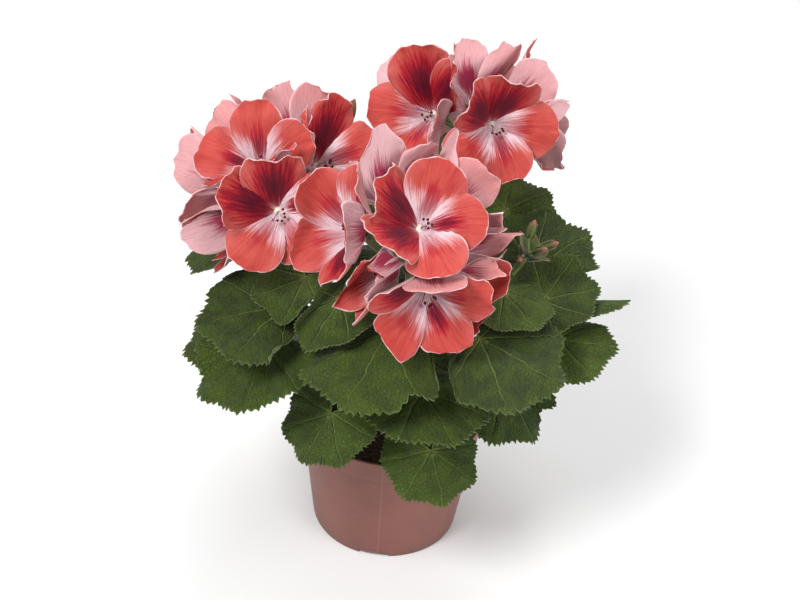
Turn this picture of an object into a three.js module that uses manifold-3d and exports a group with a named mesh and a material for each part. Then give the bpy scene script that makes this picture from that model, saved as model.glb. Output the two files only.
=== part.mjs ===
// Potted regal pelargonium: a plastic nursery pot, its peat, six leafy stems and the blooms on them.
// Millimetres, +Z up. The origin is the middle of the pot's base, and -Y is the plant's showy side.
import * as THREE from "three";
import { mergeVertices } from "three/addons/utils/BufferGeometryUtils.js";
import Module from "manifold-3d";

const wasm = await Module();
wasm.setup();

// Pot and peat
const POT = {
  height: 90,
  rimRadius: 60,
  footRadius: 49,
  wall: 1.4,
  bandHeight: 15,
  bandStep: 0.8,
  floor: 3,
  footWidth: 5,
  padRadius: 16,
  grooveDepth: 1.6,
  edgeRound: 1.2,
  sides: 28,
};
const NOTCH = { count: 3, width: 20, height: 2.6, depth: 14, firstAngle: -99 };
const DRAIN = { count: 6, radius: 4, ring: 29, sides: 6 };
const PEAT = { top: 80, relief: 1.6, gap: 0.6, sides: 16, hole: 5.2, holeSides: 6, holeFloor: 66 };

// Stems, leaf stalks and flower stalks
const STEM = { radius: 3.1, sides: 6, steps: 4, foot: 66.6 };
const PEDUNCLE = { radius: 2, sides: 5, steps: 3, share: 0.55 };
const PETIOLE = { radius: 1.4, sides: 3, steps: 2 };
const PEDICEL = { radius: 1, sides: 3, steps: 1 };
const HUB = { radius: 3.4, rings: 3, sides: 5 };
const CALYX = { root: 8.5, floor: 4.1, tip: 5.4, tipRise: 2, sepals: 5 };
const BUD = { length: 12, radius: 2.6, sides: 5 };

// Leaf blades: a toothed fan round the end of the stalk
const BLADE = {
  thickness: 0.8,
  halfFan: 140,
  sideShare: 0.86,
  lobeSwell: 0.05,
  lobesPerTurn: 8,
  toothDepth: 0.075,
  innerShare: 0.55,
  pleat: 0.035,
  pleatGrowth: 1.5,
  middle: 0.45,
  sag: 0.15,
  joint: 0.12,
  spans: 6,
  large: 51,
  largeSpans: 8,
};

// Petals: a narrow claw that leaves the throat steeply and a broad limb that opens out
const PETAL = {
  thickness: 0.7,
  rows: [0.36, 0.66, 0.88],
  claw: 0.08,
  widest: 0.66,
  flare: 3,
  seat: 1,
  rooted: 0.3,
  throatAngle: 30,
  shingle: 0.15,
  crossCurve: 0.22,
  middle: 8,
};
const UPPER = { length: 46, width: 36, open: 84, angles: [-33, 33] };
const LOWER = { length: 42, width: 32, open: 92, angles: [-110, 180, 110] };
const THROAT = { radius: 2.2, depth: 2.4, rise: 2.4, flare: 3.3, sides: 5 };
const STAMENS = { length: 16, radius: 1.2 };

// Crowding: neighbours bend to their own side of a plane between them
const CROWD = {
  margin: 0.9,
  softness: 1.8,
  passes: 4,
  stack: 3.5,
  bladeStack: 9,
  petalRise: 1,
  petalReach: 36,
  bladeRise: 0.6,
  bladeReach: 1,
};

// Each stem: where it stands in the peat, where it ends, and the way it points there
const STEMS = {
  front: { foot: [4, -20], end: [4, -40, 226], toward: [-90, 70] },
  left: { foot: [-20, -6], end: [-84, 6, 232], toward: [190, 62] },
  right: { foot: [16, 16], end: [38, 84, 244], toward: [70, 66] },
  side: { foot: [27, -8], end: [74, -6, 218], toward: [0, 60] },
  rear: { foot: [-2, 34], end: [-6, 62, 196], toward: [95, 60] },
  corner: { foot: [-26, 22], end: [-50, 46, 190], toward: [140, 60] },
};

// Each bloom: its throat from the end of its stem, where it faces (azimuth, elevation), the direction
// of its two showy petals as an angle seen from in front of it, and how far it has opened
const BLOOMS = {
  left: [
    { at: [-1, -15, 32], faces: [-95, 45], turn: 282, open: 1 },
    { at: [10, -34, 19], faces: [-88, 30], turn: 130, open: 1 },
    { at: [27, 12, 22], faces: [-42, 48], turn: 97, open: 1 },
    { at: [15, 20, 19], faces: [72, 24], turn: 90, open: 0.95 },
    { at: [-3, 12, 16], faces: [112, 18], turn: 78, open: 0.95 },
    { at: [-14, 0, 10], faces: [154, 4], turn: 80, open: 0.95 },
    { at: [-6, -15, 5], faces: [188, -20], turn: 62, open: 0.9 },
  ],
  front: [
    { at: [4, -20, 40], faces: [-85, 50], turn: 180, open: 0.9 },
    { at: [-29, -10, 29], faces: [-128, 36], turn: -23, open: 1 },
    { at: [-8, -24, 18], faces: [-120, 18], turn: 38, open: 0.9 },
    { at: [9, -32, 10], faces: [-84, 9], turn: 118, open: 1 },
    { at: [17, -21, 3], faces: [-46, 10], turn: 114, open: 1 },
    { at: [19, 4, 9], faces: [34, 2], turn: 90, open: 0.95 },
    { at: [12, 16, 24], faces: [62, 26], turn: 102, open: 0.95 },
    { at: [-12, 16, 30], faces: [122, 40], turn: 98, open: 0.95 },
  ],
  right: [
    { at: [-26, -18, 25], faces: [-110, 40], turn: 85, open: 1 },
    { at: [9, -30, 28], faces: [-76, 22], turn: 105, open: 0.93 },
    { at: [0, 15, 14], faces: [92, 36], turn: 98, open: 1 },
    { at: [16, 9, 11], faces: [50, 20], turn: 90, open: 0.95 },
    { at: [20, -3, 8], faces: [30, 5], turn: 82, open: 0.95 },
    { at: [-21, 14, 6], faces: [140, 6], turn: 90, open: 0.95 },
    { at: [6, 26, -6], faces: [84, -4], turn: 82, open: 1 },
  ],
};

// Each bud: its base from the end of its stem, and where it points
const BUDS = {
  side: [
    { at: [8, -8, 12], faces: [-30, 40] },
    { at: [14, 2, 8], faces: [10, 25] },
    { at: [0, 8, 14], faces: [60, 60] },
    { at: [-4, -10, 10], faces: [-100, 40] },
  ],
  rear: [
    { at: [2, 6, 14], faces: [80, 60] },
    { at: [-8, 2, 12], faces: [160, 50] },
  ],
};

// Each leaf: where its blade joins its stalk, how far up the stem the stalk starts, where the blade
// points (azimuth, pitch), its bank, its length to the tip, and how much it domes down
const LEAVES = {
  front: [
    { at: [26, -64, 109], from: 0.12, points: [-67, -34], bank: 0, size: 33, dome: 0.2 },
    { at: [-36, -69, 137], from: 0.2, points: [-127, -36], bank: 0, size: 33, dome: 0.15 },
    { at: [16, -78, 167], from: 0.36, points: [-60, 0], bank: -5, size: 42, dome: 0.18 },
    { at: [-6, -73, 203], from: 0.52, points: [-112, -10], bank: 0, size: 54, dome: 0.22 },
    { at: [-34, -58, 213], from: 0.66, points: [-122, -22], bank: 0, size: 35, dome: 0.2 },
    { at: [17, -54, 171], from: 0.45, points: [-68, -12], bank: 0, size: 29, dome: 0.2 },
  ],
  left: [
    { at: [-76, -54, 171], from: 0.3, points: [-150, -20], bank: 10, size: 48, dome: 0.15 },
    { at: [-68, -48, 198], from: 0.46, points: [-165, -4], bank: 0, size: 50, dome: 0.14 },
    { at: [-92, -22, 160], from: 0.25, points: [-167, -12], bank: 0, size: 40, dome: 0.2 },
    { at: [-80, -14, 186], from: 0.52, points: [-172, 2], bank: 0, size: 34, dome: 0.2 },
    { at: [-56, -40, 215], from: 0.66, points: [-110, -20], bank: 0, size: 35, dome: 0.2 },
    { at: [-108, 18, 194], from: 0.6, points: [175, -20], bank: 0, size: 30, dome: 0.2 },
  ],
  side: [
    { at: [48, -66, 199], from: 0.5, points: [-25, -9], bank: 6, size: 52, dome: 0.15 },
    { at: [64, -52, 157], from: 0.22, points: [-44, -32], bank: 0, size: 39, dome: 0.15 },
    { at: [97, -20, 168], from: 0.34, points: [-8, 5], bank: 15, size: 36, dome: 0.1 },
    { at: [104, 8, 178], from: 0.5, points: [0, 5], bank: -36, size: 37, dome: 0.05 },
    { at: [88, -2, 184], from: 0.62, points: [9, 15], bank: 25, size: 34, dome: 0.15 },
    { at: [60, -38, 213], from: 0.74, points: [-49, -5], bank: 0, size: 31, dome: 0.35 },
  ],
  right: [
    { at: [82, 24, 190], from: 0.34, points: [26, 28], bank: 28, size: 40, dome: 0.15 },
    { at: [62, 62, 205], from: 0.5, points: [36, 15], bank: 15, size: 36, dome: 0.2 },
    { at: [60, 52, 150], from: 0.2, points: [35, -20], bank: 0, size: 44, dome: 0.2 },
  ],
  rear: [
    { at: [18, 62, 150], from: 0.3, points: [70, -20], bank: 0, size: 46, dome: 0.2 },
    { at: [-14, 70, 160], from: 0.45, points: [103, -15], bank: 0, size: 40, dome: 0.2 },
    { at: [2, 56, 112], from: 0.12, points: [88, -42], bank: 0, size: 38, dome: 0.2 },
    { at: [-16, 78, 198], from: 0.8, points: [105, -5], bank: 0, size: 40, dome: 0.2 },
  ],
  corner: [
    { at: [-74, 46, 160], from: 0.4, points: [150, -20], bank: 0, size: 44, dome: 0.2 },
    { at: [-62, 56, 196], from: 0.85, points: [132, -5], bank: 0, size: 40, dome: 0.2 },
    { at: [-58, 24, 124], from: 0.14, points: [172, -40], bank: 0, size: 36, dome: 0.2 },
  ],
};

const TINTS = {
  pot: { color: 0x9a6a60, roughness: 0.45, metalness: 0 },
  peat: { color: 0x1c1410, roughness: 0.95, metalness: 0 },
  foliage: { color: 0x3c5a26, roughness: 0.6, metalness: 0 },
  bloom: { color: 0xe2604c, roughness: 0.55, metalness: 0 },
};

const radians = THREE.MathUtils.degToRad;
const vector = ([x, y, z]) => new THREE.Vector3(x, y, z);
const mix = THREE.MathUtils.lerp;

function material(name) {
  return new THREE.MeshStandardMaterial(TINTS[name]);
}

// Turns a closed geometry into a solid that can be cut and joined.
function solidOf(geometry) {
  const bare = geometry.clone();
  bare.deleteAttribute("normal");
  bare.deleteAttribute("uv");
  const merged = mergeVertices(bare, 1e-4);
  return new wasm.Manifold(
    new wasm.Mesh({
      numProp: 3,
      vertProperties: merged.attributes.position.array,
      triVerts: merged.index.array,
    }),
  );
}

function geometryOf(solid) {
  const mesh = solid.getMesh();
  return new THREE.BufferGeometry()
    .setAttribute("position", new THREE.BufferAttribute(mesh.vertProperties, 3))
    .setIndex(new THREE.BufferAttribute(mesh.triVerts, 1));
}

const joined = (solids) => solids.reduce((whole, piece) => whole.add(piece));

// The three directions of a piece: x along its front or its showy petals, z along its face.
function frameOf(x, z) {
  const y = z.clone().cross(x);
  return new THREE.Matrix4().makeBasis(x, y, z);
}

function directionOf([azimuth, elevation]) {
  const flat = Math.cos(radians(elevation));
  return new THREE.Vector3(
    flat * Math.cos(radians(azimuth)),
    flat * Math.sin(radians(azimuth)),
    Math.sin(radians(elevation)),
  );
}

const sidewaysOf = ([azimuth]) => directionOf([azimuth + 90, 0]);

// A thin closed sheet from a mid surface: the same triangles on both faces, joined round the rim.
function sheet(points, triangles, rim, thickness) {
  const normals = points.map(() => new THREE.Vector3());
  for (const [a, b, c] of triangles) {
    const ab = points[b].clone().sub(points[a]);
    const ac = points[c].clone().sub(points[a]);
    const face = ab.cross(ac);
    for (const i of [a, b, c]) normals[i].add(face);
  }
  const positions = [];
  for (const side of [0.5, -0.5]) {
    points.forEach((point, i) => {
      positions.push(...point.clone().addScaledVector(normals[i].normalize(), side * thickness));
    });
  }
  const under = points.length;
  const index = [];
  for (const [a, b, c] of triangles) index.push(a, b, c, a + under, c + under, b + under);
  rim.forEach((a, i) => {
    const b = rim[(i + 1) % rim.length];
    index.push(a, a + under, b, b, a + under, b + under);
  });
  return new THREE.BufferGeometry()
    .setAttribute("position", new THREE.Float32BufferAttribute(positions, 3))
    .setIndex(index);
}

// A round shoot along a curve, with its ends closed.
function shoot(curve, { radius, sides, steps }) {
  const section = new THREE.Shape();
  section.setFromPoints(
    Array.from({ length: sides }, (_, i) => {
      const angle = (i / sides) * 2 * Math.PI;
      return new THREE.Vector2(radius * Math.cos(angle), radius * Math.sin(angle));
    }),
  );
  return solidOf(new THREE.ExtrudeGeometry(section, { steps, extrudePath: curve }));
}

// A smooth shoot line that leaves its start along one direction and arrives along another.
function arch(start, leaving, end, arriving, bow = 0.36) {
  const pull = start.distanceTo(end) * bow;
  return new THREE.CubicBezierCurve3(
    start,
    start.clone().addScaledVector(leaving, pull),
    end.clone().addScaledVector(arriving, -pull),
    end,
  );
}

// The part of a shoot line from one share of its length to another.
function stretch(line, from, to, knots = 6) {
  const points = Array.from({ length: knots }, (_, i) => line.getPoint(mix(from, to, i / (knots - 1))));
  return new THREE.CatmullRomCurve3(points);
}

// The plane between two neighbours. Of two that lie on top of each other it lies flat between them.
function divide(piece, other) {
  const between = piece.middle.clone().sub(other.middle);
  const up = piece.normal.clone().add(other.normal).normalize();
  const height = between.dot(up);
  const stack = piece.dome && other.dome ? CROWD.bladeStack : CROWD.stack;
  const normal = between.addScaledVector(up, height * (stack - 1)).normalize();
  const point = piece.middle.clone().add(other.middle).multiplyScalar(0.5);
  const rise = piece.normal.clone().projectOnPlane(normal).multiplyScalar(piece.rise);
  return { normal, point, rise };
}

function planesOf(piece, pieces) {
  return pieces
    .filter((other) => other !== piece)
    .filter((other) => piece.middle.distanceTo(other.middle) < piece.reach + other.reach)
    .map((other) => divide(piece, other));
}

// Bends a point to its own side of every plane. What it loses across a plane it gains along it.
function crowded(point, planes) {
  for (let pass = 0; pass < CROWD.passes; pass += 1) {
    for (const { normal, point: foot, rise } of planes) {
      const short = CROWD.margin - point.clone().sub(foot).dot(normal);
      const push = CROWD.softness * Math.log(1 + Math.exp(short / CROWD.softness));
      point.addScaledVector(normal, push).addScaledVector(rise, push);
    }
  }
  return point;
}

// Pot

function potRadius(z) {
  const wall = mix(POT.footRadius, POT.rimRadius, z / POT.height);
  return z < POT.height - POT.bandHeight ? wall - POT.bandStep : wall;
}

function potWall() {
  const { height, wall, floor, edgeRound: edge, bandHeight, grooveDepth: groove } = POT;
  const foot = potRadius(0);
  const band = height - bandHeight;
  const point = (radius, z) => new THREE.Vector2(radius, z);
  const profile = [
    point(0, 0),
    point(POT.padRadius, 0),
    point(POT.padRadius + groove, groove),
    point(foot - POT.footWidth - groove, groove),
    point(foot - POT.footWidth, 0),
    point(foot - edge, 0),
    point(foot, edge),
    point(potRadius(band - 0.01), band - 1),
    point(potRadius(band), band + 0.4),
    point(potRadius(height) - 0.1, height - 0.6),
    point(potRadius(height) - 0.6, height),
    point(potRadius(height) - wall, height - 0.3),
    point(potRadius(band) - wall, band + 0.4),
    point(potRadius(band - 0.01) - wall, band - 1),
    point(potRadius(floor) - wall, floor + edge),
    point(potRadius(floor) - wall - edge, floor),
    point(0, floor),
  ];
  return solidOf(new THREE.LatheGeometry(profile, POT.sides).rotateX(Math.PI / 2));
}

function pot() {
  let body = potWall();
  for (let i = 0; i < NOTCH.count; i += 1) {
    const block = new THREE.BoxGeometry(NOTCH.depth, NOTCH.width, NOTCH.height * 2);
    block.translate(POT.footRadius, 0, 0);
    block.rotateZ(radians(NOTCH.firstAngle + (i * 360) / NOTCH.count));
    body = body.subtract(solidOf(block));
  }
  for (let i = 0; i < DRAIN.count; i += 1) {
    const hole = new THREE.CylinderGeometry(DRAIN.radius, DRAIN.radius, POT.floor * 4, DRAIN.sides);
    hole.rotateX(Math.PI / 2).translate(DRAIN.ring, 0, 0);
    hole.rotateZ(radians((i * 360) / DRAIN.count));
    body = body.subtract(solidOf(hole));
  }
  return body;
}

// Peat, with a plain hole for each stem
function peat() {
  const { top, gap, relief } = PEAT;
  const band = POT.height - POT.bandHeight;
  const bottom = POT.floor + gap;
  const inside = (z) => potRadius(z) - POT.wall - gap;
  const profile = [new THREE.Vector2(0, bottom)];
  profile.push(new THREE.Vector2(inside(bottom) - POT.edgeRound - gap, bottom));
  profile.push(new THREE.Vector2(inside(bottom + POT.edgeRound), bottom + POT.edgeRound));
  profile.push(new THREE.Vector2(inside(band - 2), band - 2));
  for (const share of [1, 0.8, 0.55, 0.3]) {
    profile.push(new THREE.Vector2(inside(band - 2) * share, top - (share === 1 ? 1.5 : 0)));
  }
  profile.push(new THREE.Vector2(0, top));
  const geometry = new THREE.LatheGeometry(profile, PEAT.sides).rotateX(Math.PI / 2);
  const place = geometry.attributes.position;
  for (let i = 0; i < place.count; i += 1) {
    const [x, y, z] = [place.getX(i), place.getY(i), place.getZ(i)];
    const bumps = Math.sin(x / 4.1 + 2) * Math.cos(y / 3.7) + 0.6 * Math.sin((x + 2 * y) / 6.3);
    if (z > top - 2) place.setZ(i, z + relief * bumps);
  }
  let body = solidOf(geometry);
  for (const { foot } of Object.values(STEMS)) {
    const depth = top - PEAT.holeFloor + 2 * relief + 4;
    const hole = new THREE.CylinderGeometry(PEAT.hole, PEAT.hole, depth, PEAT.holeSides);
    hole.rotateX(Math.PI / 2).translate(foot[0], foot[1], PEAT.holeFloor + depth / 2);
    body = body.subtract(solidOf(hole));
  }
  return body;
}

// Leaf blades

function describeLeaf({ at, points, bank, size, dome }) {
  const tip = directionOf(points);
  const level = sidewaysOf(points);
  const normal = tip.clone().cross(level).applyAxisAngle(tip, radians(bank));
  const origin = vector(at);
  const middle = origin.clone().addScaledVector(tip, size * BLADE.middle);
  middle.addScaledVector(normal, -dome * size * BLADE.sag);
  const crowding = { normal, middle, reach: size * CROWD.bladeReach, rise: CROWD.bladeRise };
  return { origin, tip, size, dome, ...crowding };
}

// A point of the blade's mid surface: its angle from the tip line and its share of the way out.
function bladePoint(leaf, angle, share, tooth) {
  const lobes = Math.cos(radians(angle * BLADE.lobesPerTurn));
  const side = mix(BLADE.sideShare, 1, (Math.cos(radians(angle)) + 1) / 2);
  const edge = side * (1 + BLADE.lobeSwell * lobes) * (1 + tooth);
  const radius = leaf.size * edge * share;
  const dome = (leaf.dome * radius * radius) / leaf.size;
  const pleat = leaf.size * BLADE.pleat * lobes * share ** BLADE.pleatGrowth;
  const point = new THREE.Vector3(radius, 0, pleat - dome);
  point.applyAxisAngle(new THREE.Vector3(0, 0, 1), radians(angle));
  return crowded(point.applyMatrix4(frameOf(leaf.tip, leaf.normal)).add(leaf.origin), leaf.planes);
}

function blade(leaf) {
  const spans = leaf.size > BLADE.large ? BLADE.largeSpans : BLADE.spans;
  const cuts = 4;
  const angleAt = (i, count) => mix(-BLADE.halfFan, BLADE.halfFan, i / count);
  const points = [bladePoint(leaf, 0, 0, 0)];
  for (let i = 0; i <= spans; i += 1) {
    points.push(bladePoint(leaf, angleAt(i, spans), BLADE.innerShare, 0));
  }
  const outer = points.length;
  for (let i = 0; i <= spans * cuts; i += 1) {
    const tooth = i % 2 ? BLADE.toothDepth : -BLADE.toothDepth;
    points.push(bladePoint(leaf, angleAt(i, spans * cuts), 1, tooth));
  }
  const triangles = [];
  for (let i = 0; i < spans; i += 1) {
    const near = 1 + i;
    const far = outer + i * cuts;
    triangles.push([0, near, near + 1]);
    triangles.push([near, far, far + 1], [near, far + 1, far + 2], [near, far + 2, near + 1]);
    triangles.push([near + 1, far + 2, far + 3], [near + 1, far + 3, far + 4]);
  }
  const rim = [0, 1];
  for (let i = outer; i < points.length; i += 1) rim.push(i);
  rim.push(spans + 1);
  return solidOf(sheet(points, triangles, rim, BLADE.thickness));
}

// Petals and blooms

function describeBloom(stem, { at, faces, turn, open }) {
  const face = directionOf(faces);
  const side = sidewaysOf(faces);
  const up = face.clone().cross(side);
  const showy = side.multiplyScalar(Math.cos(radians(turn))).addScaledVector(up, Math.sin(radians(turn)));
  const origin = vector(STEMS[stem].end).add(vector(at));
  const middle = origin.clone().addScaledVector(face, PETAL.middle);
  const crowding = { normal: face, middle, reach: CROWD.petalReach, rise: CROWD.petalRise };
  return { origin, face, showy, open, ...crowding };
}

// A point of a petal: its share of the way out, and its place across from -1 to 1.
function petalPoint(bloom, kind, angle, along, across) {
  const start = radians(PETAL.throatAngle);
  const bend = radians(kind.open * bloom.open) - start;
  const lean = start + bend * along;
  const out = PETAL.seat + (kind.length * (Math.cos(start) - Math.cos(lean))) / bend;
  const up = (kind.length * (Math.sin(lean) - Math.sin(start))) / bend;
  const growth = Math.sin((Math.PI / 2) * Math.min(1, along / PETAL.widest)) ** PETAL.flare;
  const beyond = Math.max(0, (along - PETAL.widest) / (1 - PETAL.widest));
  const breadth = mix(PETAL.claw, 1, growth) * Math.sqrt(Math.max(0, 1 - beyond ** 2));
  const aside = across * breadth * 0.5 * kind.width;
  const lift = PETAL.shingle * aside - (PETAL.crossCurve * aside * aside) / kind.width;
  const local = new THREE.Vector3(out - lift * Math.cos(lean), aside, up + lift * Math.sin(lean));
  local.applyAxisAngle(new THREE.Vector3(0, 0, 1), radians(angle));
  const free = local.applyMatrix4(frameOf(bloom.showy, bloom.face)).add(bloom.origin);
  return free.clone().lerp(crowded(free.clone(), bloom.planes), Math.min(1, along / PETAL.rooted));
}

function petal(bloom, kind, angle) {
  const points = [petalPoint(bloom, kind, angle, 0, 0)];
  for (const along of PETAL.rows) {
    for (const across of [-1, 0, 1]) points.push(petalPoint(bloom, kind, angle, along, across));
  }
  points.push(petalPoint(bloom, kind, angle, 1, 0));
  const tip = points.length - 1;
  const triangles = [
    [0, 1, 2],
    [0, 2, 3],
    [tip - 3, tip, tip - 2],
    [tip - 2, tip, tip - 1],
  ];
  const starts = PETAL.rows.map((_, row) => 1 + row * 3);
  for (const a of starts.slice(0, -1)) {
    triangles.push([a, a + 3, a + 1], [a + 1, a + 3, a + 4], [a + 1, a + 4, a + 5], [a + 1, a + 5, a + 2]);
  }
  const rim = [0, ...starts, tip, ...starts.map((a) => a + 2).reverse()];
  return solidOf(sheet(points, triangles, rim, PETAL.thickness));
}

function place(solid, bloom) {
  const matrix = frameOf(bloom.showy, bloom.face).setPosition(bloom.origin);
  return solid.transform(matrix.elements);
}

// The throat that the petals join, with the column of stamens standing in it.
function throat() {
  const { radius, depth, rise, flare, sides } = THROAT;
  const outline = [
    new THREE.Vector2(0, -depth),
    new THREE.Vector2(radius, -depth),
    new THREE.Vector2(flare, rise),
    new THREE.Vector2(STAMENS.radius, rise),
    new THREE.Vector2(0, STAMENS.length),
  ];
  return solidOf(new THREE.LatheGeometry(outline, sides).rotateX(Math.PI / 2));
}

function bloom(described) {
  const petals = [];
  for (const kind of [UPPER, LOWER]) {
    for (const angle of kind.angles) petals.push(petal(described, kind, angle));
  }
  return joined([place(throat(), described), ...petals]);
}

// Leafy stems

function calyx(described) {
  const { root, floor, tip, tipRise, sepals } = CALYX;
  const points = [new THREE.Vector3(0, 0, -root), new THREE.Vector3(0, 0, -floor)];
  const index = [];
  for (let i = 0; i < sepals; i += 1) {
    const angle = (i / sepals) * 2 * Math.PI;
    points.push(new THREE.Vector3(tip * Math.cos(angle), tip * Math.sin(angle), tipRise - floor));
    const [a, b] = [2 + i, 2 + ((i + 1) % sepals)];
    index.push(0, b, a, 1, a, b);
  }
  const geometry = new THREE.BufferGeometry().setFromPoints(points).setIndex(index);
  return place(solidOf(geometry), described);
}

function bud(origin, direction) {
  const { length, radius, sides } = BUD;
  const outline = [
    new THREE.Vector2(0, 0),
    new THREE.Vector2(radius * 0.8, length * 0.2),
    new THREE.Vector2(radius, length * 0.5),
    new THREE.Vector2(0, length),
  ];
  const body = new THREE.LatheGeometry(outline, sides).rotateX(Math.PI / 2);
  const turn = new THREE.Quaternion().setFromUnitVectors(new THREE.Vector3(0, 0, 1), direction);
  return solidOf(body.applyQuaternion(turn).translate(origin.x, origin.y, origin.z));
}

function stemPieces(name, leaves, blooms) {
  const { foot, end, toward } = STEMS[name];
  const up = new THREE.Vector3(0, 0, 1);
  const hub = vector(end);
  const aim = directionOf(toward);
  const line = arch(new THREE.Vector3(foot[0], foot[1], STEM.foot), up, hub, aim, 0.4);
  const low = stretch(line, 0, PEDUNCLE.share);
  const high = stretch(line, PEDUNCLE.share - 0.03, 1);
  const knob = new THREE.SphereGeometry(HUB.radius, HUB.sides, HUB.rings).translate(...end);
  const solids = [shoot(low, STEM), shoot(high, PEDUNCLE), solidOf(knob)];
  for (const leaf of leaves) {
    const start = line.getPoint(leaf.from);
    const out = leaf.origin.clone().sub(start).setZ(0).normalize();
    const leaving = out.multiplyScalar(0.8).add(up.clone().multiplyScalar(0.9)).normalize();
    const joint = bladePoint(leaf, 0, 0, 0).lerp(bladePoint(leaf, 0, BLADE.innerShare, 0), BLADE.joint);
    solids.push(shoot(arch(start, leaving, joint, leaf.normal), PETIOLE), blade(leaf));
  }
  for (const described of blooms) {
    const seat = described.origin.clone().addScaledVector(described.face, -CALYX.root + 1.5);
    const spread = seat.clone().sub(hub).normalize();
    solids.push(shoot(arch(hub, spread, seat, described.face, 0.3), PEDICEL), calyx(described));
  }
  for (const { at, faces } of BUDS[name] ?? []) {
    const direction = directionOf(faces);
    const base = hub.clone().add(vector(at));
    const tie = base.clone().addScaledVector(direction, 1.5);
    solids.push(shoot(arch(hub, aim, tie, direction), PEDICEL), bud(base, direction));
  }
  return solids;
}

// The whole plant
const leaves = {};
for (const [stem, rows] of Object.entries(LEAVES)) {
  leaves[stem] = rows.map((row) => ({ ...describeLeaf(row), from: row.from }));
}
const blooms = {};
for (const [stem, rows] of Object.entries(BLOOMS)) {
  blooms[stem] = rows.map((row) => describeBloom(stem, row));
}
const crowd = [...Object.values(leaves).flat(), ...Object.values(blooms).flat()];
for (const piece of crowd) piece.planes = planesOf(piece, crowd);

const plant = new THREE.Group();
function addNode(name, solid, tint) {
  const mesh = new THREE.Mesh(geometryOf(solid), material(tint));
  mesh.name = name;
  plant.add(mesh);
}

addNode("pot", pot(), "pot");
addNode("peat", peat(), "peat");
for (const name of Object.keys(STEMS)) {
  const pieces = stemPieces(name, leaves[name], blooms[name] ?? []);
  addNode(`${name}_leafy_stem`, joined(pieces), "foliage");
}
for (const [stem, row] of Object.entries(blooms)) {
  row.forEach((described, i) => addNode(`${stem}_bloom_${i + 1}`, bloom(described), "bloom"));
}

export default plant;
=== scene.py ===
# %% [markdown]
# A regal pelargonium in its nursery pot
# This lesson dresses a fixed CAD model of a potted plant: a round plastic pot, dark peat, six leafy stems
# and the large blotched blooms at their ends. The CAD model gives the places and the sizes: each soft
# part is grown again, finer, from the same rules and the same numbers. Lengths are in millimetres until a
# mesh is written, and Blender's own unit is the metre.

# %% Load the fixed frame
import math
import random

import bmesh
import bpy
import numpy as np
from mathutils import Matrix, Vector, noise


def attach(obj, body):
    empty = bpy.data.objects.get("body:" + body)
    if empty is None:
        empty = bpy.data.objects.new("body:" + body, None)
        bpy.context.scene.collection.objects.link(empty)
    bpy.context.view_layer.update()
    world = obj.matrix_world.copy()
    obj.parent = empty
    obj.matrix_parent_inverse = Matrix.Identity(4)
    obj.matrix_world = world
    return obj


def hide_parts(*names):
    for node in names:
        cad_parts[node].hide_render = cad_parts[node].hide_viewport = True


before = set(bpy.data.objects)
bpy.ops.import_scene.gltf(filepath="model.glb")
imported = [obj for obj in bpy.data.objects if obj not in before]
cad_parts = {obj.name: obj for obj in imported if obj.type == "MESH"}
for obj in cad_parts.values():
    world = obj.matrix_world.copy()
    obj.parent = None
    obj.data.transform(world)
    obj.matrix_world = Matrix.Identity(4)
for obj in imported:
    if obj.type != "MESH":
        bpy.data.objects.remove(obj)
scene = bpy.context.scene
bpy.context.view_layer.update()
MM = 0.001
print("CAD nodes:", len(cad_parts))

# %% [markdown]
# The camera
# The photograph looks down on the plant by about 36 degrees through a long lens, and it leans a little,
# so the pot's axis tilts to the right in the picture. A camera is placed by its three directions: right,
# up and back. They are worked out from the pitch and the roll and written to the camera's matrix.

# %% Place the camera
CAMERA = {"place": (0.0, -0.803, 0.753), "lens": 72.0, "sensor": 36.0, "pitch": 35.8, "roll": -4.35}


def aim_camera(place, lens, sensor, pitch, roll):
    data = bpy.data.cameras.new("camera")
    data.lens = lens
    data.sensor_width = sensor
    data.clip_end = 20.0
    camera = bpy.data.objects.new("camera", data)
    scene.collection.objects.link(camera)
    tilt, turn = math.radians(pitch), math.radians(roll)
    ahead = Vector((0, math.cos(tilt), -math.sin(tilt)))
    across = Vector((1, 0, 0))
    upward = across.cross(ahead)
    right = across * math.cos(turn) - upward * math.sin(turn)
    up = across * math.sin(turn) + upward * math.cos(turn)
    for row in range(3):
        camera.matrix_world[row] = (right[row], up[row], -ahead[row], place[row])
    scene.camera = camera


aim_camera(**CAMERA)
print("camera at", CAMERA["place"], "lens", CAMERA["lens"])

# %% [markdown]
# Expressions for shaders
# A material is a graph of nodes, and a formula of ten terms would be ten lines of node code. This small
# class wraps one socket of such a graph. Adding, subtracting or multiplying two of them adds the Math
# nodes, so that a pattern can be written as plain arithmetic. One method, node, adds every other kind of
# node.

# %% Wrap a socket so that arithmetic adds nodes
OBJECT_PLACE = 3


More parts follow.
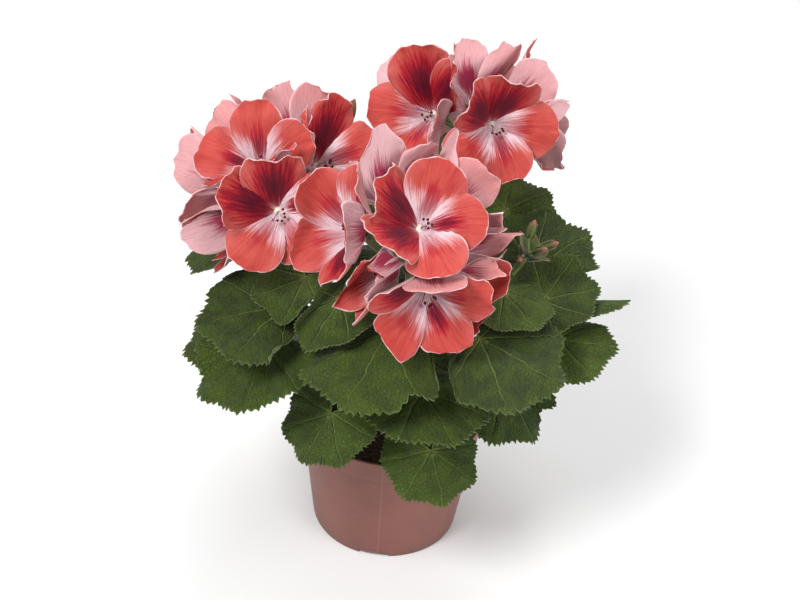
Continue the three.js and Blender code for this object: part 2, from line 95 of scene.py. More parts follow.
class Wire:
    def __init__(self, tree, socket=None):
        self.tree = tree
        self.socket = socket

    def node(self, kind, settings=None, inputs=None, output=0):
        made = self.tree.nodes.new(kind)
        for name, value in (settings or {}).items():
            setattr(made, name, value)
        for name, value in (inputs or {}).items():
            if isinstance(value, Wire):
                self.tree.links.new(value.socket, made.inputs[name])
            else:
                made.inputs[name].default_value = value
        return Wire(self.tree, made.outputs[output])

    def maths(self, operation, *values):
        return self.node("ShaderNodeMath", {"operation": operation}, dict(enumerate(values)))

    def __add__(self, other):
        return self.maths("ADD", self, other)

    __radd__ = __add__

    def __sub__(self, other):
        return self.maths("SUBTRACT", self, other)

    def __rsub__(self, other):
        return self.maths("SUBTRACT", other, self)

    def __mul__(self, other):
        return self.maths("MULTIPLY", self, other)

    __rmul__ = __mul__

    def __truediv__(self, other):
        return self.maths("DIVIDE", self, other)

    def __abs__(self):
        return self.maths("ABSOLUTE", self)

    def rise(self, low, high):
        """0 below low, 1 above high, and a smooth slope between them."""
        inputs = {"Value": self, "From Min": low, "From Max": high}
        return self.node("ShaderNodeMapRange", {"interpolation_type": "SMOOTHSTEP"}, inputs)

    def vector(self, x, y, z):
        return self.node("ShaderNodeCombineXYZ", None, {0: x, 1: y, 2: z})

    def noise(self, vector, scale, detail=2.0, roughness=0.5):
        inputs = {"Vector": vector, "Scale": scale, "Detail": detail, "Roughness": roughness}
        return self.node("ShaderNodeTexNoise", None, inputs)

    def place(self):
        """Where a point lies in the piece's own space, in metres."""
        return self.node("ShaderNodeTexCoord", output=OBJECT_PLACE)

    def bump(self, strength, distance, height):
        inputs = {"Strength": strength, "Distance": distance, "Height": height}
        return self.node("ShaderNodeBump", None, inputs)

    def parts(self, vector):
        split = self.node("ShaderNodeSeparateXYZ", None, {0: vector}).socket.node
        return [Wire(self.tree, socket) for socket in split.outputs]

    def blend(self, factor, first, second):
        """A colour between two colours."""
        settings = {"data_type": "RGBA", "clamp_factor": True}
        return self.node("ShaderNodeMix", settings, {0: factor, 6: first, 7: second}, output=2)


def colour(red, green, blue):
    """A colour as seen on a screen, from 0 to 255, turned to the linear values that shaders use."""
    linear = [((c / 255 + 0.055) / 1.055) ** 2.4 if c > 10 else c / 255 / 12.92 for c in (red, green, blue)]
    return (*linear, 1.0)


def new_finish(name, **steady):
    """A material, its first wire and its surface shader, with the values that are the same all over it."""
    material = bpy.data.materials.new(name)
    material.use_nodes = True
    tree = material.node_tree
    surface = tree.nodes["Principled BSDF"]
    for socket, value in steady.items():
        surface.inputs[socket.replace("_", " ")].default_value = value
    return material, Wire(tree), surface


def paint(start, surface, **wires):
    for socket, wire in wires.items():
        start.tree.links.new(wire.socket, surface.inputs[socket.replace("_", " ")])


print("Wire adds Math nodes for + - * / and abs")

# %% [markdown]
# The plan of the plant
# Six stems stand in the peat. Each row below says where a stem stands, where it ends and which way it
# points there. A leaf row says where its blade joins its stalk, how far up the stem the stalk starts,
# where the blade points, its bank, its length and its dome. A bloom row says where its throat lies from
# the end of the stem, where it faces, how it is turned and how far it has opened. The rows of stems,
# leaves and blooms are the CAD model's own. A bud is given by its base, counted from the end of the stem,
# and by where it points, and a young leaf by its length too.

# %% Stems, leaves, blooms and buds
STEMS = {
    "front": ((4, -20), (4, -40, 226), (-90, 70)),
    "left": ((-20, -6), (-84, 6, 232), (190, 62)),
    "right": ((16, 16), (38, 84, 244), (70, 66)),
    "side": ((27, -8), (74, -6, 218), (0, 60)),
    "rear": ((-2, 34), (-6, 62, 196), (95, 60)),
    "corner": ((-26, 22), (-50, 46, 190), (140, 60)),
}
LEAVES = {
    "front": [
        ((26, -64, 109), 0.12, (-67, -34), 0, 33, 0.2),
        ((-36, -69, 137), 0.2, (-127, -36), 0, 33, 0.15),
        ((16, -78, 167), 0.36, (-60, 0), -5, 42, 0.18),
        ((-6, -73, 203), 0.52, (-112, -10), 0, 54, 0.22),
        ((-34, -58, 213), 0.66, (-122, -22), 0, 35, 0.2),
        ((17, -54, 171), 0.45, (-68, -12), 0, 29, 0.2),
    ],
    "left": [
        ((-76, -54, 171), 0.3, (-150, -20), 10, 48, 0.15),
        ((-68, -48, 198), 0.46, (-165, -4), 0, 50, 0.14),
        ((-92, -22, 160), 0.25, (-167, -12), 0, 40, 0.2),
        ((-80, -14, 186), 0.52, (-172, 2), 0, 34, 0.2),
        ((-56, -40, 215), 0.66, (-110, -20), 0, 35, 0.2),
        ((-108, 18, 194), 0.6, (175, -20), 0, 30, 0.2),
    ],
    "side": [
        ((48, -66, 199), 0.5, (-25, -9), 6, 52, 0.15),
        ((64, -52, 157), 0.22, (-44, -32), 0, 39, 0.15),
        ((97, -20, 168), 0.34, (-8, 5), 15, 36, 0.1),
        ((104, 8, 178), 0.5, (0, 5), -36, 37, 0.05),
        ((88, -2, 184), 0.62, (9, 15), 25, 34, 0.15),
        ((60, -38, 213), 0.74, (-49, -5), 0, 31, 0.35),
    ],
    "right": [
        ((82, 24, 190), 0.34, (26, 28), 28, 40, 0.15),
        ((62, 62, 205), 0.5, (36, 15), 15, 36, 0.2),
        ((60, 52, 150), 0.2, (35, -20), 0, 44, 0.2),
    ],
    "rear": [
        ((18, 62, 150), 0.3, (70, -20), 0, 46, 0.2),
        ((-14, 70, 160), 0.45, (103, -15), 0, 40, 0.2),
        ((2, 56, 112), 0.12, (88, -42), 0, 38, 0.2),
        ((-16, 78, 198), 0.8, (105, -5), 0, 40, 0.2),
    ],
    "corner": [
        ((-74, 46, 160), 0.4, (150, -20), 0, 44, 0.2),
        ((-62, 56, 196), 0.85, (132, -5), 0, 40, 0.2),
        ((-58, 24, 124), 0.14, (172, -40), 0, 36, 0.2),
    ],
}
BLOOMS = {
    "left": [
        ((-1, -15, 32), (-95, 45), 282, 1),
        ((10, -34, 19), (-88, 30), 130, 1),
        ((27, 12, 22), (-42, 48), 97, 1),
        ((15, 20, 19), (72, 24), 90, 0.95),
        ((-3, 12, 16), (112, 18), 78, 0.95),
        ((-14, 0, 10), (154, 4), 80, 0.95),
        ((-6, -15, 5), (188, -20), 62, 0.9),
    ],
    "front": [
        ((4, -20, 40), (-85, 50), 180, 0.9),
        ((-29, -10, 29), (-128, 36), -23, 1),
        ((-8, -24, 18), (-120, 18), 38, 0.9),
        ((9, -32, 10), (-84, 9), 118, 1),
        ((17, -21, 3), (-46, 10), 114, 1),
        ((19, 4, 9), (34, 2), 90, 0.95),
        ((12, 16, 24), (62, 26), 102, 0.95),
        ((-12, 16, 30), (122, 40), 98, 0.95),
    ],
    "right": [
        ((-26, -18, 25), (-110, 40), 85, 1),
        ((9, -30, 28), (-76, 22), 105, 0.93),
        ((0, 15, 14), (92, 36), 98, 1),
        ((16, 9, 11), (50, 20), 90, 0.95),
        ((20, -3, 8), (30, 5), 82, 0.95),
        ((-21, 14, 6), (140, 6), 90, 0.95),
        ((6, 26, -6), (84, -4), 82, 1),
    ],
}
BUDS = {
    "side": [((3, -7, 7), (-40, 40)), ((7, 0, 6), (0, 25)), ((0, 5, 9), (60, 60)), ((-3, -7, 3), (-105, 25))],
    "rear": [((2, 4, 9), (80, 60)), ((-5, 1, 8), (160, 50))],
    "corner": [((3, 3, 72), (100, 75))],
}
YOUNG_LEAVES = {
    "corner": [((3, 3, 72), (10, 64), 25), ((3, 3, 72), (70, 80), 17)],
    "front": [((-2, 2, 1), (139, 4), 42)],
    "right": [((-2, -2, 1), (-128, 7), 42)],
}
print(sum(map(len, LEAVES.values())), "leaves,", sum(map(len, BLOOMS.values())), "blooms")

# %% [markdown]
# Crowding
# Leaves and petals of a real plant press on each other and bend aside. Here a plane stands between every
# two neighbours, and a point that comes too near its plane is pushed back softly and slides up along it.
# The CAD model bends its coarse sheets by this same rule, so the fine sheets made here lie where its
# solids lie.

# %% Directions, and the planes between neighbours
CROWD = {"margin": 0.9, "softness": 1.8, "passes": 4, "stack": 3.5, "leaf_stack": 9.0, "furthest": 40.0}


def direction(azimuth, elevation):
    a, e = math.radians(azimuth), math.radians(elevation)
    return np.array([math.cos(e) * math.cos(a), math.cos(e) * math.sin(a), math.sin(e)])


def unit(vector):
    return vector / np.linalg.norm(vector)


def axes(x, z):
    """Turns a local point (a row) into the plant's directions: x along the first, z along the second."""
    return np.array([x, np.cross(z, x), z])


def pointing(azimuth, elevation):
    """The local directions of a part that stands on its base and points that way."""
    return axes(direction(azimuth + 90, 0), direction(azimuth, elevation))


def describe_leaf(at, start, points, bank, size, dome):
    tip = direction(*points)
    level = direction(points[0] + 90, 0)
    tilt = math.radians(bank)
    normal = np.cross(tip, level) * math.cos(tilt) - level * math.sin(tilt)
    origin = np.array(at, float)
    middle = origin + tip * size * 0.45 - normal * dome * size * 0.15
    return dict(origin=origin, axes=axes(tip, normal), normal=normal, size=size, dome=dome, start=start,
                middle=middle, reach=size, rise=0.6)


def describe_bloom(stem, at, faces, turn, opened):
    face = direction(*faces)
    side = direction(faces[0] + 90, 0)
    turned = math.radians(turn)
    showy = side * math.cos(turned) + np.cross(face, side) * math.sin(turned)
    origin = np.array(STEMS[stem][1], float) + np.array(at, float)
    return dict(origin=origin, axes=axes(showy, face), normal=face, opened=opened,
                middle=origin + face * 8, reach=36, rise=1.0)


def plane_between(piece, other):
    between = piece["middle"] - other["middle"]
    up = unit(piece["normal"] + other["normal"])
    both_leaves = "dome" in piece and "dome" in other
    stack = CROWD["leaf_stack" if both_leaves else "stack"]
    normal = unit(between + up * (between @ up) * (stack - 1))
    slide = piece["normal"] - normal * (piece["normal"] @ normal)
    return normal, (piece["middle"] + other["middle"]) / 2, normal + slide * piece["rise"]


def crowded(free, planes):
    points = free
    for _ in range(CROWD["passes"]):
        for normal, foot, way in planes:
            short = CROWD["margin"] - (points - foot) @ normal
            push = CROWD["softness"] * np.logaddexp(0, short / CROWD["softness"])
            points = points + push[:, None] * way
    moved = points - free
    far = np.linalg.norm(moved, axis=1, keepdims=True) + 1e-9
    return free + moved * CROWD["furthest"] * np.tanh(far / CROWD["furthest"]) / far


leaves = {stem: [describe_leaf(*row) for row in rows] for stem, rows in LEAVES.items()}
blooms = {stem: [describe_bloom(stem, *row) for row in rows] for stem, rows in BLOOMS.items()}
crowd = [piece for rows in (*leaves.values(), *blooms.values()) for piece in rows]
for piece in crowd:
    near = [o for o in crowd
            if o is not piece and np.linalg.norm(piece["middle"] - o["middle"]) < piece["reach"] + o["reach"]]
    piece["planes"] = [plane_between(piece, other) for other in near]
print("planes a piece, on average:", round(sum(len(p["planes"]) for p in crowd) / len(crowd), 1))

# %% [markdown]
# From a grid to a sheet
# A petal and a leaf blade are both thin curved sheets. Each starts as a flat grid, whose two directions
# stand for the way across and the way out, and a formula moves every point to its place. The sheet then
# gets its thickness from extruding it, and the faces that this leaves a fraction of a millimetre behind
# take the finish of the back.

# %% Helpers that grow sheets, tubes and pieces


def sheet(bm, columns, rows, shape, layers, thickness, front, back):
    """A grid moved by shape(u, v), which returns places, map coordinates and a value for each point layer."""
    made = bmesh.ops.create_grid(bm, x_segments=columns, y_segments=rows, size=0.5)["verts"]
    flat = np.array([(v.co.x, v.co.y) for v in made]) + 0.5
    places, maps, values = shape(flat[:, 0], flat[:, 1])
    faces = list({face for vert in made for face in vert.link_faces})
    spot = {}
    for vert, place, pair, row in zip(made, places * MM, maps, zip(*values)):
        vert.co = place
        spot[vert] = pair
        for layer, value in zip(layers["points"], row):
            vert[layer] = value
    for face in faces:
        face.material_index = front
        face.smooth = True
        for loop in face.loops:
            loop[layers["map"]].uv = spot[loop.vert]
    bmesh.ops.remove_doubles(bm, verts=made, dist=1e-6)
    thicken(bm, [face for face in faces if face.is_valid], thickness * MM, back)


def thicken(bm, faces, thickness, back):
    """Extrudes the sheet, which leaves the first faces behind, turned over, as its far side."""
    bm.normal_update()
    behind = {vert: vert.co - vert.normal * thickness for face in faces for vert in face.verts}
    bmesh.ops.extrude_face_region(bm, geom=faces, use_keep_orig=True)
    for vert, place in behind.items():
        vert.co = place
    finish_faces(behind, back)


def finish_faces(verts, finish=0):
    """Gives all faces round these points one finish, and shades them smooth."""
    for face in {face for vert in verts for face in vert.link_faces}:
        face.material_index = finish
        face.smooth = True


def sheet_layers(bm, map_name, *point_names):
    points = [bm.verts.layers.float.new(name) for name in point_names]
    return {"map": bm.loops.layers.uv.new(map_name), "points": points}


def tube(bm, points, radii, sides=6, finish=0):
    """A round tube along a line of points: a circle, extruded from point to point and closed at its ends."""
    points = [np.array(p, float) for p in points]
    last = len(points) - 1
    ahead = [unit(points[min(i + 1, last)] - points[max(i - 1, 0)]) for i in range(last + 1)]
    across = unit(np.cross(ahead[0], (0.31, 0.17, 0.93)))
    rim = bmesh.ops.create_circle(bm, cap_ends=False, radius=1.0, segments=sides)["verts"]
    corners = [(v.co.x, v.co.y) for v in rim]
    edges = list({e for v in rim for e in v.link_edges})
    first = rim
    for i, (point, way, radius) in enumerate(zip(points, ahead, radii)):
        across = unit(across - way * (across @ way))
        other = np.cross(way, across)
        if i:
            grown = bmesh.ops.extrude_edge_only(bm, edges=edges)["geom"]
            fresh = [g for g in grown if isinstance(g, bmesh.types.BMVert)]
            edges = [g for g in grown if isinstance(g, bmesh.types.BMEdge)]
            order = {tuple(round(c, 9) for c in v.co): k for k, v in enumerate(rim)}
            rim = sorted(fresh, key=lambda v: order[tuple(round(c, 9) for c in v.co)])
            finish_faces(rim, finish)
        for vert, (a, b) in zip(rim, corners):
            vert.co = (point + (across * a + other * b) * radius) * MM
    for ring in (first, rim):
        cap = bm.faces.new(ring)
        cap.material_index = finish
        cap.smooth = True


def as_object(name, bm, finishes=()):
    mesh = bpy.data.meshes.new(name)
    bm.normal_update()
    bm.to_mesh(mesh)
    bm.free()
    for finish in finishes:
        mesh.materials.append(finish)
    made = bpy.data.objects.new(name, mesh)
    scene.collection.objects.link(made)
    return made


def add_piece(name, bm, finishes, slot, *nodes):
    made = as_object(name, bm, finishes)
    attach(made, "root")
    if nodes:
        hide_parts(*nodes)
    return made


print("helpers ready: sheet, tube, as_object, add_piece")

# %% [markdown]
# Petal finishes
# A petal has a map in real millimetres: across from its midline and out from its base. The pattern is
# drawn in rays from a point just under the base, because the veins run that way. Streaked noise along
# those rays feathers every border: pale base to coral, and the burgundy blotch that the two showy petals
# wear. The rim is a thin line of pinkish white, and the back of a petal is much paler, with the blotch
# showing through it.

# %% Make the four petal finishes
MAP_SIZE = 60.0
PETAL_PAINT = {
    "pale": colour(244, 222, 228),
    "coral": colour(196, 80, 70),
    "deep coral": colour(166, 42, 42),
    "pink": colour(208, 112, 106),
    "crimson": colour(166, 10, 38),
    "burgundy": colour(108, 3, 32),
    "purple": colour(64, 3, 26),
    "lilac": colour(156, 84, 128),
    "edge": colour(240, 202, 200),
    "back": colour(224, 184, 190),
    "back coral": colour(212, 116, 108),
    "back magenta": colour(156, 22, 66),
}


def rays(start, map_name, below):
    """Across and out in millimetres, and the angle and distance from a point below the base of the sheet."""
    place = start.node("ShaderNodeUVMap", {"uv_map": map_name})
    u, v, _ = start.parts(place)
    across = (u - 0.5) * MAP_SIZE
    out = v * MAP_SIZE
    angle = start.maths("ARCTAN2", across, out + below)
    distance = start.maths("SQRT", across * across + (out + below) * (out + below))
    return across, out, angle, distance


def value_of(start, name):
    return start.node("ShaderNodeAttribute", {"attribute_name": name}, output=2)


SPOTS = {
    "showy face": {"centre": 0.48, "half_length": 0.38, "half_width": 11.0, "feather": 2.2},
    "lower face": {"centre": 0.46, "half_length": 0.26, "half_width": 4.8, "feather": 2.2},
    "showy back": {"centre": 0.42, "half_length": 0.32, "half_width": 9.0, "feather": 2.0},
    "lower back": {"centre": 0.42, "half_length": 0.32, "half_width": 5.0, "feather": 2.0},
}
SHOWY_STAINS = ((-0.5, 0.15, 0.9, "crimson"), (0.0, 0.5, 1.0, "burgundy"), (0.4, 1.0, 0.8, "purple"))
BACK_STAIN = {"showy": 0.95, "lower": 0.5}
MARKED_LENGTH = {"showy": 45.0, "lower": 40.0}


def petal_marks(start, kind):
    """What every petal finish is drawn with: its map, its own tint, and noise along the rays."""
    across, out, angle, distance = rays(start, "petal_map", 8.0)
    shade = value_of(start, "shade")
    streaks = start.noise(start.vector(angle * 34.0, distance * 0.06, shade * 37.0), 1.0, 4.0, 0.65)
    veins = start.noise(start.vector(angle * 90.0, distance * 0.05, shade * 19.0), 1.0, 2.0, 0.6)
    clouds = start.noise(start.vector(across * 0.09, out * 0.09, shade * 23.0), 1.0, 2.0)
    return {"across": across, "share": out / MARKED_LENGTH[kind], "shade": shade,
            "rim": value_of(start, "rim"), "streaks": streaks, "veins": veins, "clouds": clouds,
            "lines": 1 - abs(veins - 0.5).rise(0.0, 0.035)}


def blotch(start, marks, centre, half_length, half_width, feather):
    """1 in the middle of a spindle on the midline, 0 at its border, and feathered by the streaks."""
    x = marks["across"] / half_width
    y = (marks["share"] - centre) / half_length
    return 1 - start.maths("SQRT", x * x + y * y) + (marks["streaks"] - 0.5) * feather


# %% Paint the back and the two kinds of face


def back_tone(start, marks, kind):
    """The paler back: more coral towards the rim, with the blotch showing through."""
    p, shade = PETAL_PAINT, marks["shade"]
    flushed = marks["share"].rise(0.2, 0.9) * (0.12 + shade * 0.6)
    tone = start.blend(flushed, p["back"], p["back coral"])
    spot = blotch(start, marks, **SPOTS[kind + " back"])
    tone = start.blend(spot.rise(-0.2, 0.6) * BACK_STAIN[kind], tone, p["back magenta"])
    return start.blend(marks["lines"] * 0.35, tone, p["back magenta"])


def coral_tone(start, marks):
    """The ground of a petal's face: mottled coral, a little pinker at the sides."""
    p = PETAL_PAINT
    deeper = marks["clouds"].rise(0.3, 0.8) * 0.4 + marks["streaks"].rise(0.35, 0.7) * 0.45
    tone = start.blend(deeper, p["coral"], p["deep coral"])
    return start.blend((abs(marks["across"]) / 17.0).rise(0.45, 1.0) * 0.45, tone, p["pink"])


def showy_tone(start, marks):
    """An upper petal: a small pale base and a broad feathered blotch from crimson to purple."""
    bare = 1 - (marks["share"] + (marks["streaks"] - 0.5) * 0.2).rise(0.08, 0.26)
    tone = start.blend(bare, coral_tone(start, marks), PETAL_PAINT["pale"])
    spot = blotch(start, marks, **SPOTS["showy face"])
    for low, high, strength, stain in SHOWY_STAINS:
        tone = start.blend(spot.rise(low, high) * strength, tone, PETAL_PAINT[stain])
    near_base = 1 - marks["share"].rise(0.1, 0.3)
    return start.blend(marks["lines"] * near_base * 0.8, tone, PETAL_PAINT["crimson"])


def lower_tone(start, marks):
    """A lower petal: a long pale base that frays into the coral, and a small blotch."""
    p, shade = PETAL_PAINT, marks["shade"]
    frayed = marks["share"] + (marks["streaks"] - 0.5) * 0.5 - abs(marks["across"]) * 0.006
    bare = 1 - frayed.rise(0.24, 0.62)
    tone = start.blend(bare, coral_tone(start, marks), p["pale"])
    spot = blotch(start, marks, **SPOTS["lower face"])
    tone = start.blend(spot.rise(-0.3, 0.3) * (0.45 + shade * 0.55), tone, p["crimson"])
    tone = start.blend(spot.rise(0.25, 0.8) * shade.rise(0.3, 0.9), tone, p["burgundy"])
    return start.blend(marks["lines"] * bare * 0.5, tone, p["lilac"])


def petal_finish(name, kind, back):
    material, start, surface = new_finish(name, Sheen_Weight=0.04, Sheen_Roughness=0.4,
                                          Specular_IOR_Level=0.25)
    marks = petal_marks(start, kind)
    clouds, streaks = marks["clouds"], marks["streaks"]
    if back:
        tone = back_tone(start, marks, kind)
    else:
        tone = (showy_tone if kind == "showy" else lower_tone)(start, marks)
        tone = start.blend(marks["lines"] * 0.34, tone, PETAL_PAINT["crimson"])
    ragged_rim = marks["rim"] + (clouds - 0.5) * 0.12 + (streaks - 0.5) * 0.05
    tone = start.blend(ragged_rim.rise(0.962, 1.015) * 0.85, tone, PETAL_PAINT["edge"])
    bump = start.bump(0.6, 0.0011, marks["veins"] * 0.5 + streaks * 0.5)
    paint(start, surface, Base_Color=tone, Roughness=0.5 + clouds * 0.2, Normal=bump)
    return material


petal_finishes = [petal_finish(f"{kind}_petal_{side}", kind, side == "back")
                  for side in ("face", "back") for kind in ("showy", "lower")]
print("petal finishes:", [m.name for m in petal_finishes])

# %% [markdown]
# Throat and stamens
# In the middle of the bloom, a short pale throat holds a bundle of thin white filaments that lean towards
# the lower petals. Each ends in a dark maroon anther, and the longest one, the style, ends in five purple
# branches. Filaments are tubes, and anthers are small spheres stretched along them.

# %% Make the finishes of the bloom's middle


def middle_finish(name, low, high, roughness):
    material, start, surface = new_finish(name, Specular_IOR_Level=0.35)
    place = start.place()
    grain = start.noise(place, 900.0, 3.0)
    tone = start.blend(grain.rise(0.35, 0.65), low, high)
    bump = start.bump(0.4, 0.0003, grain)
    paint(start, surface, Base_Color=tone, Normal=bump, Roughness=roughness + grain * 0.2)
    return material


throat_finish = middle_finish("pale_throat", colour(226, 226, 200), colour(250, 238, 240), 0.5)
anther_finish = middle_finish("maroon_anther", colour(58, 10, 20), colour(120, 30, 24), 0.6)
style_finish = middle_finish("purple_style", colour(120, 40, 96), colour(188, 110, 160), 0.5)

# %% [markdown]
# Petals
# A petal is narrow at its claw and broad at its limb. It leaves the throat steeply and leans outwards as
# it goes, so its side view is an arc. It is lifted at one side like a shingle, its sides curl down and
# its rim is ruffled. All of this is one formula of two numbers, how far out and how far across. Dice give
# each petal its own lean, curl and ruffle. A bloom's dice start from its name, and THROWS says how many
# words are added to that name, which are as many new throws: the count is the one whose petals fell best
# for that bloom.

# %% Grow a petal and a whole bloom
PETAL = {"claw": 0.2, "widest": 0.66, "flare": 1.6, "seat": 1.0, "rooted": 0.3, "throat": 30.0,
         "shingle": 0.15, "thickness": 0.45, "columns": 20, "rows": 28, "rows_to_widest": 0.7,
         "rows_beyond": 0.3, "groove": 0.6, "groove_width": 1.8, "pucker": 0.2}
SHOWY = {"length": 47, "width": 36, "open": 84, "angles": (-33, 33)}
LOWER = {"length": 44, "width": 34, "open": 92, "angles": (-110, 180, 110)}
THROWS = {
    "left": (6, 0, 31, 32, 28, 17, 0),
    "front": (11, 1, 5, 9, 27, 16, 18, 25),
    "right": (16, 41, 2, 14, 18, 9, 2),
}
HOODED = {("left", 2): (-6, -60), ("front", 1): (-16, -40), ("right", 2): (-14, -45)}


def petal_mood(dice, kind, hood):
    """What makes one petal unlike the next: its lean, curl, fold, twist, ruffle, size and tint."""
    showy = kind is SHOWY
    mood = {
        "lean": dice.uniform(-16, 2) if showy else dice.uniform(-8, 5),
        "curl": dice.uniform(-40, 30) if showy else dice.uniform(-25, 35),
        "fold": dice.uniform(-0.1, 0.5) if showy else dice.uniform(0.0, 0.45),
        "twist": dice.uniform(-0.3, 0.3),
        "size": dice.uniform(0.95, 1.03),
        "slim": dice.uniform(0.9, 1.07),
        "phase": dice.uniform(0, 6.3),
        "waves": dice.uniform(2.5, 6.0),
        "ruffle": dice.uniform(1.2, 3.2),
        "notch": dice.uniform(-0.02, 0.06),
        "shade": dice.random(),
    }
    if showy and hood:
        mood["lean"], mood["curl"] = hood
    return mood


def side_view(kind, opened, mood):
    """The petal's line from its base to its tip: how far out and how far up it is, and how it leans."""
    share = np.linspace(0, 1, 65)
    first = math.radians(PETAL["throat"])
    last = math.radians(kind["open"] * opened + mood["lean"])
    outer_half = np.clip((share - 0.45) / 0.55, 0, 1)
    lean = first + (last - first) * share + math.radians(mood["curl"]) * outer_half**2
    step = kind["length"] * mood["size"] / 64
    middle = (lean[1:] + lean[:-1]) / 2
    out = PETAL["seat"] + np.concatenate([[0], np.cumsum(np.sin(middle))]) * step
    up = np.concatenate([[0], np.cumsum(np.cos(middle))]) * step
    return share, lean, out, up


def petal_shape(bloom, kind, angle, mood):
    """The formula of one petal, as a function of how far across and how far out."""
    turn = math.radians(angle)
    turned = np.array([[math.cos(turn), math.sin(turn), 0], [-math.sin(turn), math.cos(turn), 0], [0, 0, 1]])
    widest = PETAL["widest"]
    share, leans, outs, ups = side_view(kind, bloom["opened"], mood)
    length, width = kind["length"] * mood["size"], kind["width"] * mood["slim"]

    def shape(u, v):
        across = 1 - 2 * u
        straight = PETAL["rows_to_widest"]
        round_end = np.sin(np.pi / 2 * np.clip((v - straight) / PETAL["rows_beyond"], 0, 1))
        along = np.where(v < straight, v / straight * widest, widest + (1 - widest) * round_end)
        beyond = np.clip((along - widest) / (1 - widest), 0, 1)
        growth = np.sin(np.pi / 2 * np.minimum(1, along / widest)) ** PETAL["flare"]
        breadth = (PETAL["claw"] + (1 - PETAL["claw"]) * growth) * np.sqrt(np.maximum(0, 1 - beyond**2))
        aside = across * breadth * 0.5 * width
        rim = np.where(along > widest, np.hypot(across * breadth, beyond), np.abs(across))
        path = np.arctan2(across * breadth, beyond + 0.15)
        shorter = 1 - mood["notch"] * np.exp(-((path / 0.35) ** 2)) * beyond
        shorter = shorter - (0.012 * np.sin(path * 7 + mood["phase"]) + 0.008 * np.sin(path * 15)) * beyond
        lean, out, up = (np.interp(along * shorter, share, values) for values in (leans, outs, ups))
        ruffle = np.sin(path * mood["waves"] + mood["phase"]) + 0.35 * np.sin(path * 11.0 - mood["phase"] * 2)
        lift = (PETAL["shingle"] + mood["twist"] * (along - 0.3)) * aside - mood["fold"] * aside**2 / width
        lift = lift + mood["ruffle"] * ruffle * rim**3 * growth
        lift = lift - PETAL["groove"] * np.exp(-((aside / PETAL["groove_width"]) ** 2)) * growth
        lift = lift + PETAL["pucker"] * np.sin(aside * 1.7 + mood["phase"] + along * 2) * growth
        local = np.column_stack([out - lift * np.cos(lean), aside, up + lift * np.sin(lean)])
        free = local @ turned @ bloom["axes"] + bloom["origin"]
        held = np.minimum(1, along / PETAL["rooted"])[:, None]
        places = free + (crowded(free, bloom["planes"]) - free) * held
        maps = np.column_stack([0.5 + aside / MAP_SIZE, along * length / MAP_SIZE])
        return places, maps, (np.full(len(u), mood["shade"]), rim)

    return shape


THROAT = {"radius1": 2.0, "radius2": 3.0, "depth": 4.0, "segments": 12}
FILAMENTS = {"count": 6, "spread": 28, "style": 15, "radii": (0.42, 0.32, 0.26, 0.22), "sides": 5}
ANTHER = (0.8, 0.8, 1.8)
STYLE_BRANCH = {"count": 5, "thick": 0.3, "out": 0.8, "up": 0.7, "seat": 0.6}
PALE, MAROON, PURPLE = 4, 5, 6


def place_in_bloom(verts, bloom):
    for vert in verts:
        vert.co = Vector((np.array(vert.co) @ bloom["axes"] + bloom["origin"]) * MM)


def add_anther(bm, bloom, end):
    """A small sphere, stretched along its filament."""
    seed = bmesh.ops.create_icosphere(bm, subdivisions=2, radius=1.0)["verts"]
    for vert in seed:
        vert.co = [c * size + place for c, size, place in zip(vert.co, ANTHER, end)]
    finish_faces(seed, MAROON)
    place_in_bloom(seed, bloom)


def add_style_branch(bm, bloom, end, spin):
    """One of the five branches in which the style ends."""
    branch = STYLE_BRANCH
    seed = bmesh.ops.create_icosphere(bm, subdivisions=1, radius=1.0)["verts"]
    for vert in seed:
        x, y, z = vert.co
        out = branch["out"] + z * branch["out"]
        vert.co = (x * branch["thick"] + end[0] + math.cos(spin) * out,
                   y * branch["thick"] + end[1] + math.sin(spin) * out,
                   end[2] + branch["seat"] + z * branch["up"])
    finish_faces(seed, PURPLE)
    place_in_bloom(seed, bloom)


def add_middle(bm, bloom, dice):
    """The throat, the style and five filaments with anthers, in the bloom's own directions."""
    made = bmesh.ops.create_cone(bm, cap_ends=True, **THROAT)["verts"]
    finish_faces(made, PALE)
    place_in_bloom(made, bloom)
    for i in range(FILAMENTS["count"]):
        heading = math.radians(180 + (i - 2.5) * FILAMENTS["spread"] + dice.uniform(-8, 8))
        ahead, beside = math.cos(heading), math.sin(heading)
        tall = dice.uniform(9, 13) if i else FILAMENTS["style"]
        wide = dice.uniform(2.5, 5.5)
        line = [(wide * s**2 * ahead + ahead, wide * s**2 * beside, 1 + tall * s) for s in (0, 0.35, 0.7, 1)]
        points = [np.array(p) @ bloom["axes"] + bloom["origin"] for p in line]
        tube(bm, points, FILAMENTS["radii"], FILAMENTS["sides"], PALE if i else PURPLE)
        if i:
            add_anther(bm, bloom, line[-1])
        else:
            for k in range(STYLE_BRANCH["count"]):
                add_style_branch(bm, bloom, line[-1], math.radians(k * 72))


def make_bloom(name, bloom, dice, hood):
    bm = bmesh.new()
    layers = sheet_layers(bm, "petal_map", "shade", "rim")
    for kind in (SHOWY, LOWER):
        for angle in kind["angles"]:
            front = 0 if kind is SHOWY else 1
            shape = petal_shape(bloom, kind, angle, petal_mood(dice, kind, hood))
            sheet(bm, PETAL["columns"], PETAL["rows"], shape, layers, PETAL["thickness"], front, front + 2)
    add_middle(bm, bloom, dice)
    finishes = [*petal_finishes, throat_finish, anther_finish, style_finish]
    return add_piece(f"{name}_petals", bm, finishes, "petals", name)


